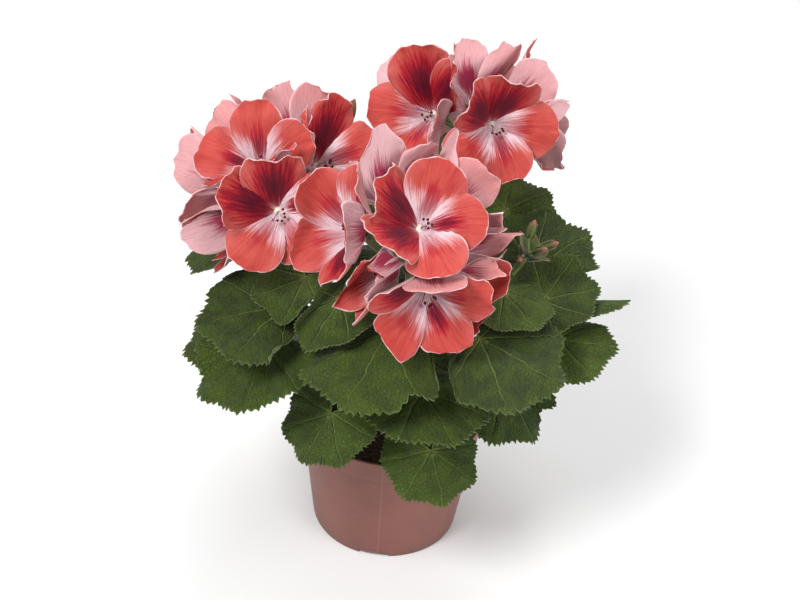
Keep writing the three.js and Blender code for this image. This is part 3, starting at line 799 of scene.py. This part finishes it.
made_blooms = []
for stem, rows in blooms.items():
    for number, bloom in enumerate(rows, 1):
        dice = random.Random(f"{stem} {number}" + " again" * THROWS[stem][number - 1])
        made_blooms.append(make_bloom(f"{stem}_bloom_{number}", bloom, dice, HOODED.get((stem, number))))
print(len(made_blooms), "blooms,", sum(len(o.data.polygons) for o in made_blooms), "faces")

# %% [markdown]
# Leaf finishes
# Each leaf has a flat map that is centred on the stalk's joint, so that the distance and the angle from
# the joint draw its veins. Main veins run out along the middle of each lobe, side veins leave them at a
# slant, and a fine net of cells between them quilts the surface. The upper side is a matte dark green
# with pale veins, and the underside is a pale grey green.

# %% Make the leaf finishes
LOBE = math.radians(45.0)
LEAF_PAINT = {
    "green": colour(70, 90, 14),
    "dark": colour(32, 46, 10),
    "vein": colour(116, 138, 66),
    "joint": colour(136, 152, 66),
    "edge": colour(104, 124, 54),
    "under": colour(112, 126, 84),
    "under vein": colour(146, 158, 112),
}
LEAF_MAP_SIZE = 120.0
SIDE_VEIN = {"step": 8.4, "slant": 1.7, "stagger": 2.2, "wander": 10.0}


def leaf_marks(start):
    """The veins of a blade, drawn from the distance and the angle round its joint, and its fine hairs."""
    u, v, _ = start.parts(start.node("ShaderNodeUVMap", {"uv_map": "leaf_map"}))
    x, y = (u - 0.5) * LEAF_MAP_SIZE, (v - 0.5) * LEAF_MAP_SIZE
    shade, rim = value_of(start, "shade"), value_of(start, "rim")
    wobble = start.noise(start.vector(x * 0.1, y * 0.1, shade * 31.0), 1.0, 2.0)
    distance = start.maths("SQRT", x * x + y * y)
    lobes = start.maths("ARCTAN2", x, y) / LOBE + (wobble - 0.5) * 0.22
    off_lobe = start.maths("FRACT", lobes + 0.5) - 0.5
    aside = abs(off_lobe) * distance * LOBE
    main = 1 - aside.rise(0.1, 0.6 + (1 - rim) * 0.4)
    stagger = start.maths("SIGN", off_lobe) * SIDE_VEIN["stagger"]
    slanted = distance - aside * SIDE_VEIN["slant"] + stagger + (wobble - 0.5) * SIDE_VEIN["wander"]
    rung = start.maths("FRACT", slanted / SIDE_VEIN["step"])
    side = (1 - abs(rung - 0.5).rise(0.015, 0.07)) * (1 - main) * distance.rise(5.0, 11.0)
    cells = start.node("ShaderNodeTexVoronoi", {"feature": "DISTANCE_TO_EDGE"},
                       {"Vector": start.vector(x, y, shade * 20.0), "Scale": 0.42})
    hairs = start.noise(start.vector(x, y, 0.0), 2.6, 3.0, 0.7)
    return {"shade": shade, "rim": rim, "wobble": wobble, "distance": distance, "main": main, "side": side,
            "net": 1 - cells.rise(0.0, 0.14), "hairs": hairs}


def underside_tone(start, marks):
    """A pale grey green with raised pale veins."""
    p = LEAF_PAINT
    tone = start.blend(marks["wobble"], p["under"], p["green"])
    tone = start.blend(0.8, tone, p["under"])
    veins = marks["main"] * 0.8 + marks["side"] * 0.4 + marks["net"] * 0.15
    return start.blend(veins, tone, p["under vein"])


def upper_tone(start, marks):
    """A dark green of its own tint, with pale veins, a yellow joint and a thin pale rim."""
    p, rim, distance = LEAF_PAINT, marks["rim"], marks["distance"]
    tint = marks["wobble"].rise(0.3, 0.7) * 0.5 + marks["shade"] * 0.5
    tone = start.blend(tint, p["dark"], p["green"])
    veins = marks["main"] * (0.9 - rim * 0.5) + marks["side"] * (0.5 - rim * 0.25) + marks["net"] * 0.05
    tone = start.blend(veins, tone, p["vein"])
    tone = start.blend((1 - distance.rise(1.0, 5.5)) * 0.85, tone, p["joint"])
    tone = start.blend((1 - distance.rise(3.0, 17.0)) * 0.25, tone, p["vein"])
    tone = start.blend(rim.rise(0.96, 0.995) * 0.35, tone, p["edge"])
    return start.blend(marks["hairs"].rise(0.45, 0.8) * 0.12, tone, p["edge"])


def leaf_finish(name, under):
    material, start, surface = new_finish(name, Sheen_Weight=0.03, Sheen_Roughness=0.5,
                                          Specular_IOR_Level=0.32)
    marks = leaf_marks(start)
    tone = underside_tone(start, marks) if under else upper_tone(start, marks)
    raised = 1.0 if under else -1.0
    relief = (marks["main"] * 0.9 + marks["side"] * 0.75 + marks["net"] * 0.35) * raised
    bump = start.bump(0.9, 0.0018, relief + marks["hairs"] * 0.18)
    paint(start, surface, Base_Color=tone, Roughness=0.5 + marks["hairs"] * 0.2, Normal=bump)
    return material


leaf_finishes = [leaf_finish("leaf_upper_side", False), leaf_finish("leaf_underside", True)]
print("leaf finishes:", [m.name for m in leaf_finishes])

# %% [markdown]
# Leaf blades
# A blade is a fan round the end of its stalk: rounded, shallowly lobed and cut along its edge into small
# uneven teeth. The grid's first direction is the angle round the joint and its second is the way out. The
# blade domes down, its lobes stand up as pleats, and the side veins leave faint furrows in it.

# %% Grow the blades of every stem
BLADE = {"half_fan": 150.0, "side": 0.86, "swell": 0.05, "teeth": 58, "tooth": 0.07, "pleat": 0.045,
         "thickness": 0.5, "joint": 0.066, "rows": 15, "grid_a_tooth": 4, "toward_rim": 1.4,
         "furrow": 0.9, "furrow_width": 1.4}
FOLD = {"wide": 0.15, "from": 0.66, "rows": 0.34, "inwards": 0.16, "upwards": 0.15}
TURNED_UP = {("front", 4): 0.75, ("side", 2): 0.5}
NOT_TURNED = 99.0


def blade_shape(leaf, mood):
    def shape(u, v):
        v = 1 - (1 - v) ** BLADE["toward_rim"]
        angle = np.radians(BLADE["half_fan"]) * (1 - 2 * u)
        lobes = np.cos(angle * 8)
        side = BLADE["side"] + (1 - BLADE["side"]) * (np.cos(angle) + 1) / 2
        tooth = u * BLADE["teeth"]
        saw = np.abs(tooth % 1 - 0.5) * 2
        uneven = 0.7 + 0.45 * np.sin(np.floor(tooth) * 2.3 + mood["phase"])
        fringe = np.clip((v - 0.8) / 0.2, 0, 1) ** 1.5
        toothed = 1 + BLADE["tooth"] * uneven * (saw - 0.6) * fringe
        edge = side * (1 + BLADE["swell"] * lobes) * toothed
        angle = angle + 0.02 * np.sin(angle * 9 + mood["phase"]) + 0.012 * fringe * saw
        radius = leaf["size"] * edge * v
        height = -leaf["dome"] * radius**2 / leaf["size"] + leaf["size"] * BLADE["pleat"] * lobes * v**1.5
        height = height + mood["wave"] * np.sin(angle * 5.3 + mood["phase"]) * v**3
        height = height + 0.5 * np.sin(angle * 23 + mood["phase"] * 3) * v**4
        off_vein = np.sin(angle * 4) * radius / 4
        furrow = np.exp(-((off_vein / BLADE["furrow_width"]) ** 2)) * np.clip(radius / 5, 0, 1)
        height = height - BLADE["furrow"] * furrow
        near_fold = np.exp(-(((angle - mood["turned_up"]) / FOLD["wide"]) ** 2))
        turned_up = near_fold * np.clip((v - FOLD["from"]) / FOLD["rows"], 0, 1)
        radius = radius - leaf["size"] * FOLD["inwards"] * turned_up
        height = height + leaf["size"] * FOLD["upwards"] * turned_up
        local = np.column_stack([radius * np.cos(angle), radius * np.sin(angle), height])
        places = crowded(local @ leaf["axes"] + leaf["origin"], leaf["planes"])
        maps = 0.5 + np.column_stack([radius * np.sin(angle), radius * np.cos(angle)]) / LEAF_MAP_SIZE
        return places, maps, (np.full(len(u), mood["shade"]), v)

    return shape


def blade_point(leaf, share):
    """Where the middle line of a blade lies at this share of the way out."""
    radius = leaf["size"] * (1 + BLADE["swell"]) * share
    height = -leaf["dome"] * radius**2 / leaf["size"] + leaf["size"] * BLADE["pleat"] * share**1.5
    local = np.array([[radius, 0, height]])
    return crowded(local @ leaf["axes"] + leaf["origin"], leaf["planes"])[0]


def make_blades(stem, dice):
    bm = bmesh.new()
    layers = sheet_layers(bm, "leaf_map", "shade", "rim")
    columns = BLADE["teeth"] * BLADE["grid_a_tooth"]
    for number, leaf in enumerate(leaves[stem], 1):
        mood = {"phase": dice.uniform(0, 6.3), "wave": dice.uniform(0.7, 1.8), "shade": dice.random()}
        mood["turned_up"] = TURNED_UP.get((stem, number), NOT_TURNED)
        sheet(bm, columns, BLADE["rows"], blade_shape(leaf, mood), layers, BLADE["thickness"], 0, 1)
    return add_piece(f"{stem}_blades", bm, leaf_finishes, "foliage", f"{stem}_leafy_stem")


made_blades = [make_blades(stem, random.Random(f"blades {stem}")) for stem in leaves]
print(len(made_blades), "sets of blades,", sum(len(o.data.polygons) for o in made_blades), "faces")

# %% [markdown]
# Stems and stalks
# The stems are green and hairy, and a little brown near the peat. Each leaf hangs on a long thin stalk
# that leaves the stem upwards and meets the blade from below. Near the top the stem thins to a flower
# stalk, which ends in a knob from which a short stalk goes to every bloom. All are tubes along smooth
# curves.

# %% Make the finish of green shoots


def shoot_finish(name, low, high, tip):
    material, start, surface = new_finish(name, Sheen_Weight=0.35, Sheen_Roughness=0.4,
                                          Specular_IOR_Level=0.35)
    place = start.place()
    _, _, tall = start.parts(place)
    patches = start.noise(place, 60.0, 3.0)
    hairs = start.noise(place, 1400.0, 2.0, 0.7)
    tone = start.blend(patches.rise(0.35, 0.65), low, high)
    tone = start.blend((1 - tall.rise(0.075, 0.13)) * 0.7, tone, colour(104, 84, 52))
    tone = start.blend(value_of(start, "tipping") * 0.8, tone, tip)
    tone = start.blend(hairs.rise(0.5, 0.75) * 0.25, tone, colour(150, 162, 116))
    bump = start.bump(0.6, 0.0004, hairs)
    paint(start, surface, Base_Color=tone, Roughness=0.5 + hairs * 0.2, Normal=bump)
    return material


stalk_green = colour(104, 124, 62)
stalk_finish = shoot_finish("green_stalk", colour(76, 96, 44), stalk_green, stalk_green)
sepal_finish = shoot_finish("hairy_sepal", colour(56, 76, 28), colour(84, 104, 46), colour(178, 84, 84))
print("shoot finishes:", stalk_finish.name, sepal_finish.name)

# %% Lines, tubes and narrow leaflets
STEM = {"foot": 66.6, "knob": 3.2}
TUBES = {
    "stem": {"radii": (3.3, 3.1, 3.1, 3.0, 2.4, 2.1, 2.0, 2.0), "steps": 24, "sides": 12},
    "leaf stalk": {"radii": (2.0, 1.4, 1.25, 1.2, 1.3), "steps": 12, "sides": 8},
    "bloom stalk": {"radii": (1.0, 0.9, 0.95), "steps": 8, "sides": 7},
    "bud stalk": {"radii": (1.0, 0.85, 0.95), "steps": 8, "sides": 7},
}
UP = np.array([0.0, 0.0, 1.0])
SKIN = 0.35


def arch(start, leaving, end, arriving, bow=0.36):
    start, end = np.array(start, float), np.array(end, float)
    pull = np.linalg.norm(end - start) * bow
    return start, start + leaving * pull, end - arriving * pull, end


def along(line, t):
    a, b, c, d = line
    s = 1 - t
    return a * s**3 + 3 * b * s**2 * t + 3 * c * s * t**2 + d * t**3


def run(bm, line, radii, steps, sides):
    shares = np.linspace(0, 1, steps)
    sizes = np.interp(shares, np.linspace(0, 1, len(radii)), radii)
    tube(bm, [along(line, t) for t in shares], sizes, sides)


def ball(bm, centre, radius):
    made = bmesh.ops.create_icosphere(bm, subdivisions=2, radius=radius)["verts"]
    for vert in made:
        vert.co = Vector((np.array(vert.co) + centre) * MM)
    finish_faces(made)


def lance_shape(origin, turned, heading, length, width, path):
    """A narrow pointed leaflet on a path(s) of (out, up) in the local directions."""
    spin = math.radians(heading)

    def shape(u, v):
        out, up = path(v)
        aside = (1 - 2 * u) * 0.5 * width * np.sin(np.pi * np.clip(v * 0.86 + 0.14, 0, 1)) ** 0.8
        local = np.column_stack([
            out * math.cos(spin) - aside * math.sin(spin),
            out * math.sin(spin) + aside * math.cos(spin),
            up + 0.16 * np.abs(aside),
        ])
        maps = np.column_stack([u, v])
        return local @ turned + origin, maps, (np.clip(v * 1.6 - 0.9, 0, 1),)

    return shape


# %% [markdown]
# Calyxes, buds and bracts
# Behind each bloom a green cup of five pointed sepals holds the petals. A closed bud is the same cup still
# wrapped round its petals, whose pink tips push out. Small leaves, the bracts, stand round the knob, and
# large ones fold round young buds. All of them are narrow leaflets, so one formula grows them along
# different paths.

# %% Make calyxes, buds, young leaves and bracts
CALYX = {"root": 8.5, "cup": ((-9.5, 1.0), (-7, 1.5), (-5, 2.0), (-3.4, 2.3)), "sides": 10, "sepals": 5,
         "reach": (7.0, 8.5), "width": 3.4, "turn": 20}
BUD = {"length": 12, "width": 2.6, "ridge": 0.13, "taper": 0.35, "seat": 0.8, "sepal": (9, 2.2, 0.3)}
BRACT = {"count": 6, "young": {"length": 17.0, "width": 11.0}, "old": {"length": 6.5, "width": 3.0}}
YOUNG_LEAF = {"slim": 0.42, "bow": 2.5}


def add_calyx(bm, layers, bloom, dice):
    """The green cup behind a bloom: a short tube, and pointed sepals that lie back against the petals."""
    heights, radii = zip(*CALYX["cup"])
    tube(bm, [np.array((0, 0, h)) @ bloom["axes"] + bloom["origin"] for h in heights], radii, CALYX["sides"])
    for i in range(CALYX["sepals"]):
        reach = dice.uniform(*CALYX["reach"])

        def path(s):
            return 1.7 + reach * s**1.1, -4.9 + 5.2 * s - 1.6 * s**2

        heading = i * 72 + CALYX["turn"]
        shape = lance_shape(bloom["origin"], bloom["axes"], heading, reach, CALYX["width"], path)
        sheet(bm, 4, 6, shape, layers, SKIN, 0, 0)


def add_bud(bm, layers, base, heading):
    """A closed bud: a pointed spindle with five ridges, green below and pink where the petals push out."""
    turned = pointing(*heading)
    made = bmesh.ops.create_uvsphere(bm, u_segments=20, v_segments=12, radius=1.0)["verts"]
    tipping = layers["points"][0]
    for vert in made:
        x, y, z = vert.co
        share = (z + 1) / 2
        ridge = 1 + BUD["ridge"] * math.cos(5 * math.atan2(y, x))
        wide = BUD["width"] * ridge * (1 - BUD["taper"] * share)
        vert[tipping] = max(0.0, min(1.0, share * 3 - 1.9))
        vert.co = Vector((np.array([x * wide, y * wide, share * BUD["length"]]) @ turned + base) * MM)
    finish_faces(made)
    length, width, skin = BUD["sepal"]
    for i in range(5):
        shape = lance_shape(base, turned, i * 72, length, width,
                            lambda s: (2.2 + 0.9 * s - 0.9 * s**2, 0.5 + 9.5 * s))
        sheet(bm, 3, 5, shape, layers, skin, 0, 0)


def add_young_leaf(bm, layers, base, heading, length):
    """A leaf that has just unfolded: narrow, pointed and bowed."""
    turned = pointing(*heading)
    shape = lance_shape(base, turned, 180, length, length * YOUNG_LEAF["slim"],
                        lambda s: (YOUNG_LEAF["bow"] * np.sin(np.pi * s), length * s))
    sheet(bm, 6, 10, shape, layers, SKIN, 0, 0)


def add_bracts(bm, layers, hub, toward, grown, dice):
    """The small leaves round the knob at the end of a stem. Round closed buds they are still large."""
    length = grown["length"]
    turned = pointing(*toward)
    for i in range(BRACT["count"]):
        heading = i * 360 / BRACT["count"] + dice.uniform(-12, 12)
        shape = lance_shape(hub, turned, heading, length, grown["width"],
                            lambda s: (2.4 + length * 0.62 * s**1.2, length * (0.78 * s - 0.12) - 2.0 * s**2))
        sheet(bm, 6, 8, shape, layers, SKIN, 0, 0)


# %% Run the stems and stalks, and set on them what they carry


def run_stem_and_leaf_stalks(bm, stem, hub, aim):
    line = arch((*STEMS[stem][0], STEM["foot"]), UP, hub, aim, 0.4)
    run(bm, line, **TUBES["stem"])
    ball(bm, hub, STEM["knob"])
    for leaf in leaves[stem]:
        start = along(line, leaf["start"])
        out = leaf["origin"] - start
        out = unit(np.array([out[0], out[1], 0.0]))
        joint = blade_point(leaf, BLADE["joint"]) - leaf["normal"] * 0.3
        run(bm, arch(start, unit(out * 0.8 + UP * 0.9), joint, leaf["normal"]), **TUBES["leaf stalk"])


def make_shoots(stem, dice):
    _, end, toward = STEMS[stem]
    hub, aim = np.array(end, float), direction(*toward)
    bm, sepals = bmesh.new(), bmesh.new()
    bm.verts.layers.float.new("tipping")
    layers = sheet_layers(sepals, "sepal_map", "tipping")
    run_stem_and_leaf_stalks(bm, stem, hub, aim)
    for bloom in blooms.get(stem, []):
        seat = bloom["origin"] + bloom["normal"] * (1.5 - CALYX["root"])
        run(bm, arch(hub, unit(seat - hub), seat, bloom["normal"], 0.3), **TUBES["bloom stalk"])
        add_calyx(sepals, layers, bloom, dice)
    for at, heading in BUDS.get(stem, []):
        base = hub + np.array(at, float)
        ahead = direction(*heading)
        run(bm, arch(hub, aim, base + ahead * BUD["seat"], ahead), **TUBES["bud stalk"])
        add_bud(sepals, layers, base, heading)
    for at, heading, length in YOUNG_LEAVES.get(stem, []):
        add_young_leaf(sepals, layers, hub + np.array(at, float), heading, length)
    add_bracts(sepals, layers, hub, toward, BRACT["young" if stem in BUDS else "old"], dice)
    stalks = add_piece(f"{stem}_stalks", bm, [stalk_finish], "foliage")
    add_piece(f"{stem}_sepals", sepals, [sepal_finish], "foliage")
    print(stem, "stalks", len(stalks.data.polygons), "faces")


for stem in STEMS:
    make_shoots(stem, random.Random(f"shoots {stem}"))

# %% [markdown]
# The pot
# A cheap nursery pot is injection moulded: a slightly tapered wall, a straight band under the rim,
# a foot ring with three notches and a floor with drain holes. Its outline is drawn once and spun about
# the axis, and a boolean takes the holes and notches out, as the mould's pins do.

# %% Make the pot's finish
POT = {"height": 90.0, "rim": 60.0, "foot": 49.0, "wall": 1.4, "band": 15.0, "step": 0.8, "floor": 3.0,
       "foot_width": 5.0, "pad": 16.0, "groove": 1.6, "sides": 112}
SEAM = math.radians(-92.5)
DRAIN = {"count": 6, "radius": 0.004, "depth": 0.012, "from_axis": 0.029}
NOTCH = {"count": 3, "first": -96, "deep": 0.014, "wide": 0.020, "tall": 0.0062, "from_axis": 0.049}


def pot_finish():
    material, start, surface = new_finish("terracotta_pink_plastic", Specular_IOR_Level=0.4)
    place = start.place()
    x, y, z = start.parts(place)
    clouds = start.noise(place, 22.0, 4.0, 0.6)
    specks = start.noise(place, 900.0, 2.0, 0.6)
    round_turn = start.maths("ARCTAN2", y, x)
    seam = 1 - abs(round_turn - SEAM).rise(0.004, 0.012)
    scuffs = start.noise(start.vector(x, y, z * 9.0), 55.0, 3.0, 0.7).rise(0.62, 0.8)
    tone = start.blend(clouds.rise(0.3, 0.7), colour(123, 75, 66), colour(135, 85, 75))
    tone = start.blend(specks.rise(0.55, 0.8) * 0.25, tone, colour(152, 112, 102))
    tone = start.blend(scuffs * 0.18, tone, colour(160, 126, 118))
    # Painted shade: the lowest 12 mm of the pot are darkened towards the floor it stands on.
    tone = start.blend((1 - z.rise(0.0, 0.012)) * 0.25, tone, colour(98, 64, 58))
    tone = start.blend(seam * 0.35, tone, colour(158, 112, 102))
    relief = specks * 0.25 + seam * 0.8 + clouds * 0.5
    bump = start.bump(0.4, 0.0004, relief)
    paint(start, surface, Base_Color=tone, Roughness=0.42 + clouds * 0.12 + scuffs * 0.1, Normal=bump)
    return material


# %% Spin the pot and cut its holes


def wall_radius(z):
    wall = POT["foot"] + (POT["rim"] - POT["foot"]) * z / POT["height"]
    return wall - POT["step"] if z < POT["height"] - POT["band"] else wall


def spun(bm, profile, steps):
    verts = [bm.verts.new((r * MM, 0, z * MM)) for r, z in profile]
    edges = [bm.edges.new(pair) for pair in zip(verts, verts[1:])]
    bmesh.ops.spin(bm, geom=verts + edges, cent=(0, 0, 0), axis=(0, 0, 1), angle=2 * math.pi,
                   steps=steps, use_merge=True)
    bmesh.ops.remove_doubles(bm, verts=bm.verts[:], dist=1e-6)
    bmesh.ops.recalc_face_normals(bm, faces=bm.faces[:])


def pot_profile():
    """The pot's outline: along its base from the axis, up outside, over the rim, and down inside."""
    p = POT
    band, foot, groove = p["height"] - p["band"], wall_radius(0), p["groove"]
    base = [(0, 0), (p["pad"], 0), (p["pad"] + groove, groove), (foot - p["foot_width"] - groove, groove)]
    ring = [(foot - p["foot_width"], 0), (foot - 1.2, 0), (foot - 0.4, 0.3), (foot, 1.2)]
    outer = [(wall_radius(z), z) for z in (8.0, 25.0, 50.0, band - 2.0, band - 1.0)]
    step = [(wall_radius(band) - 0.25, band - 0.3), (wall_radius(band), band + 0.4)]
    upper = [(wall_radius(z), z) for z in (80.0, 85.0, 88.6)]
    rim = [(wall_radius(89.2) + 0.05, 89.3), (wall_radius(90) - 0.35, 89.85), (wall_radius(90) - 0.8, 90),
           (wall_radius(90) - 1.2, 89.75)]
    inner = [(wall_radius(z) - p["wall"], z)
             for z in (86.0, 80.0, band + 0.6, band - 1.2, 50.0, 25.0, 6.0)]
    floor = [(wall_radius(3) - 2.2, 3.6), (wall_radius(3) - 4.0, p["floor"]), (0, p["floor"])]
    return base + ring + outer + step + upper + rim + inner + floor


def around(x, y, turn):
    return x * math.cos(turn) - y * math.sin(turn), x * math.sin(turn) + y * math.cos(turn)


def drill():
    """One mesh of all that the mould keeps clear: the drain holes and the notches in the foot, in metres."""
    bm = bmesh.new()
    for i in range(DRAIN["count"]):
        made = bmesh.ops.create_cone(bm, cap_ends=True, segments=24, radius1=DRAIN["radius"],
                                     radius2=DRAIN["radius"], depth=DRAIN["depth"])["verts"]
        x, y = around(DRAIN["from_axis"], 0, math.radians(i * 360 / DRAIN["count"]))
        bmesh.ops.translate(bm, verts=made, vec=(x, y, 0))
    for i in range(NOTCH["count"]):
        made = bmesh.ops.create_cube(bm, size=1.0)["verts"]
        turn = math.radians(NOTCH["first"] + i * 360 / NOTCH["count"])
        for vert in made:
            out = vert.co.x * NOTCH["deep"] + NOTCH["from_axis"]
            x, y = around(out, vert.co.y * NOTCH["wide"], turn)
            vert.co = (x, y, vert.co.z * NOTCH["tall"])
    return as_object("drill", bm)


def make_pot():
    bm = bmesh.new()
    spun(bm, pot_profile(), POT["sides"])
    for face in bm.faces:
        face.smooth = True
    pot = add_piece("nursery_pot", bm, [pot_finish()], "pot", "pot")
    cutter = drill()
    cut = pot.modifiers.new("holes", "BOOLEAN")
    cut.object, cut.operation, cut.solver = cutter, "DIFFERENCE", "EXACT"
    bpy.context.view_layer.update()
    whole = bpy.data.meshes.new_from_object(pot.evaluated_get(bpy.context.evaluated_depsgraph_get()))
    pot.modifiers.clear()
    pot.data = whole
    bpy.data.objects.remove(cutter)
    whole.set_sharp_from_angle(angle=math.radians(35))
    print("pot", len(whole.polygons), "faces")


make_pot()

# %% [markdown]
# Peat
# The pot is filled to a finger below the rim with dark moist peat. Little of it shows under the leaves,
# so it is a spun plug with an uneven top, strewn with nine hundred small crumbs of only twenty faces each.

# %% Fill the pot with peat and strew its crumbs
PEAT = {"level": 79.0, "top": 79.6, "highest": 81.0, "shoulder": 76.5, "bottom": 4.6, "widest_at": 73,
        "clear": 0.5, "narrowest_at": 5, "foot_clear": 1.8, "rings": 30, "sides": 96, "crumbs": 900,
        "crumb": (0.5, 1.9), "stretch": ((0.7, 1.5), (0.7, 1.3), (0.5, 0.9))}


def peat_finish():
    material, start, surface = new_finish("moist_peat", Specular_IOR_Level=0.3)
    place = start.place()
    lumps = start.noise(place, 320.0, 5.0, 0.7)
    fibres = start.noise(place, 1500.0, 3.0, 0.6)
    tone = start.blend(lumps.rise(0.35, 0.65), colour(30, 20, 14), colour(66, 46, 32))
    tone = start.blend(fibres.rise(0.6, 0.75) * 0.5, tone, colour(112, 84, 58))
    bump = start.bump(0.9, 0.0012, lumps + fibres * 0.4)
    paint(start, surface, Base_Color=tone, Roughness=0.8 + lumps * 0.15, Normal=bump)
    return material


def peat_height(x, y):
    """The uneven top of the peat, in millimetres, at a place in millimetres."""
    hills = noise.noise(Vector((x / 17, y / 17, 0)))
    lumps = noise.noise(Vector((x / 5, y / 5, 3)))
    return PEAT["top"] + 2.6 * hills + 1.3 * lumps


def make_peat():
    bm = bmesh.new()
    edge = wall_radius(PEAT["widest_at"]) - POT["wall"] - PEAT["clear"]
    foot = wall_radius(PEAT["narrowest_at"]) - POT["wall"] - PEAT["foot_clear"]
    rings = [(edge * k / PEAT["rings"], PEAT["level"]) for k in range(PEAT["rings"] + 1)]
    below = [(edge, PEAT["shoulder"]), (foot, PEAT["bottom"]), (0, PEAT["bottom"])]
    spun(bm, rings + below, PEAT["sides"])
    for vert in bm.verts:
        if vert.co.z > (PEAT["level"] - 1) * MM:
            x, y = vert.co.x / MM, vert.co.y / MM
            vert.co.z = min(peat_height(x, y), PEAT["highest"]) * MM
    dice = random.Random("crumbs")
    for _ in range(PEAT["crumbs"]):
        far, turn = edge * math.sqrt(dice.random()) - 1, dice.uniform(0, 2 * math.pi)
        x, y = far * math.cos(turn), far * math.sin(turn)
        size = dice.uniform(*PEAT["crumb"])
        stretch = [dice.uniform(*limits) for limits in PEAT["stretch"]]
        made = bmesh.ops.create_icosphere(bm, subdivisions=1, radius=size * MM)["verts"]
        bmesh.ops.scale(bm, verts=made, vec=stretch)
        spin = dice.uniform(0, 6.3)
        bmesh.ops.translate(bm, verts=made, vec=(x * MM, y * MM, (peat_height(x, y) + size * 0.2) * MM))
        for vert in made:
            jitter = noise.noise_vector(vert.co * 900 + Vector((spin, 0, 0))) * size * 0.25 * MM
            vert.co += jitter
    peat = add_piece("peat_and_crumbs", bm, [peat_finish()], "peat", "peat")
    print("peat", len(peat.data.polygons), "faces")


make_peat()

# %% [markdown]
# Floor and light
# The photograph is a studio cut-out: soft light from all sides, a little more from above and from the
# left, and no hard shadow. A pale floor catches a faint contact shadow, three large area lights model the
# forms, and a pale world fills the shade. The plain colour transform keeps the coral as bright as it was
# painted.

# %% Lay the floor and hang the lights
PLANT_MIDDLE = Vector((0, 0, 0.15))
LIGHTS = {
    "key": ((-0.9, -1.1, 1.8), 0.9, 40.0),
    "fill": ((1.5, -0.9, 1.0), 1.4, 15.0),
    "crown": ((0.3, 0.8, 1.8), 1.4, 18.0),
}
WORLD_STRENGTH = 0.33


def make_floor():
    bm = bmesh.new()
    bmesh.ops.create_grid(bm, x_segments=2, y_segments=2, size=4.0)
    material, start, surface = new_finish("pale_floor", Specular_IOR_Level=0.2)
    place = start.place()
    cloud = start.noise(place, 3.0, 2.0)
    paint(start, surface, Base_Color=start.blend(cloud, colour(240, 240, 241), colour(243, 243, 243)),
          Roughness=0.7 + cloud * 0.05)
    floor = as_object("floor", bm, [material])


def hang_light(name, place, size, power):
    data = bpy.data.lights.new(name, "AREA")
    data.shape, data.size, data.energy = "DISK", size, power
    light = bpy.data.objects.new(name, data)
    light.location = place
    light.rotation_euler = (PLANT_MIDDLE - Vector(place)).to_track_quat("-Z", "Y").to_euler()
    scene.collection.objects.link(light)


make_floor()
for name, row in LIGHTS.items():
    hang_light(name, *row)
world = bpy.data.worlds.new("studio")
scene.world = world
world.use_nodes = True
sky = world.node_tree.nodes["Background"]
sky.inputs["Color"].default_value = (1.0, 1.0, 1.0, 1.0)
sky.inputs["Strength"].default_value = WORLD_STRENGTH
scene.view_settings.view_transform = "Standard"
print("lights:", ", ".join(LIGHTS), "world:", WORLD_STRENGTH)
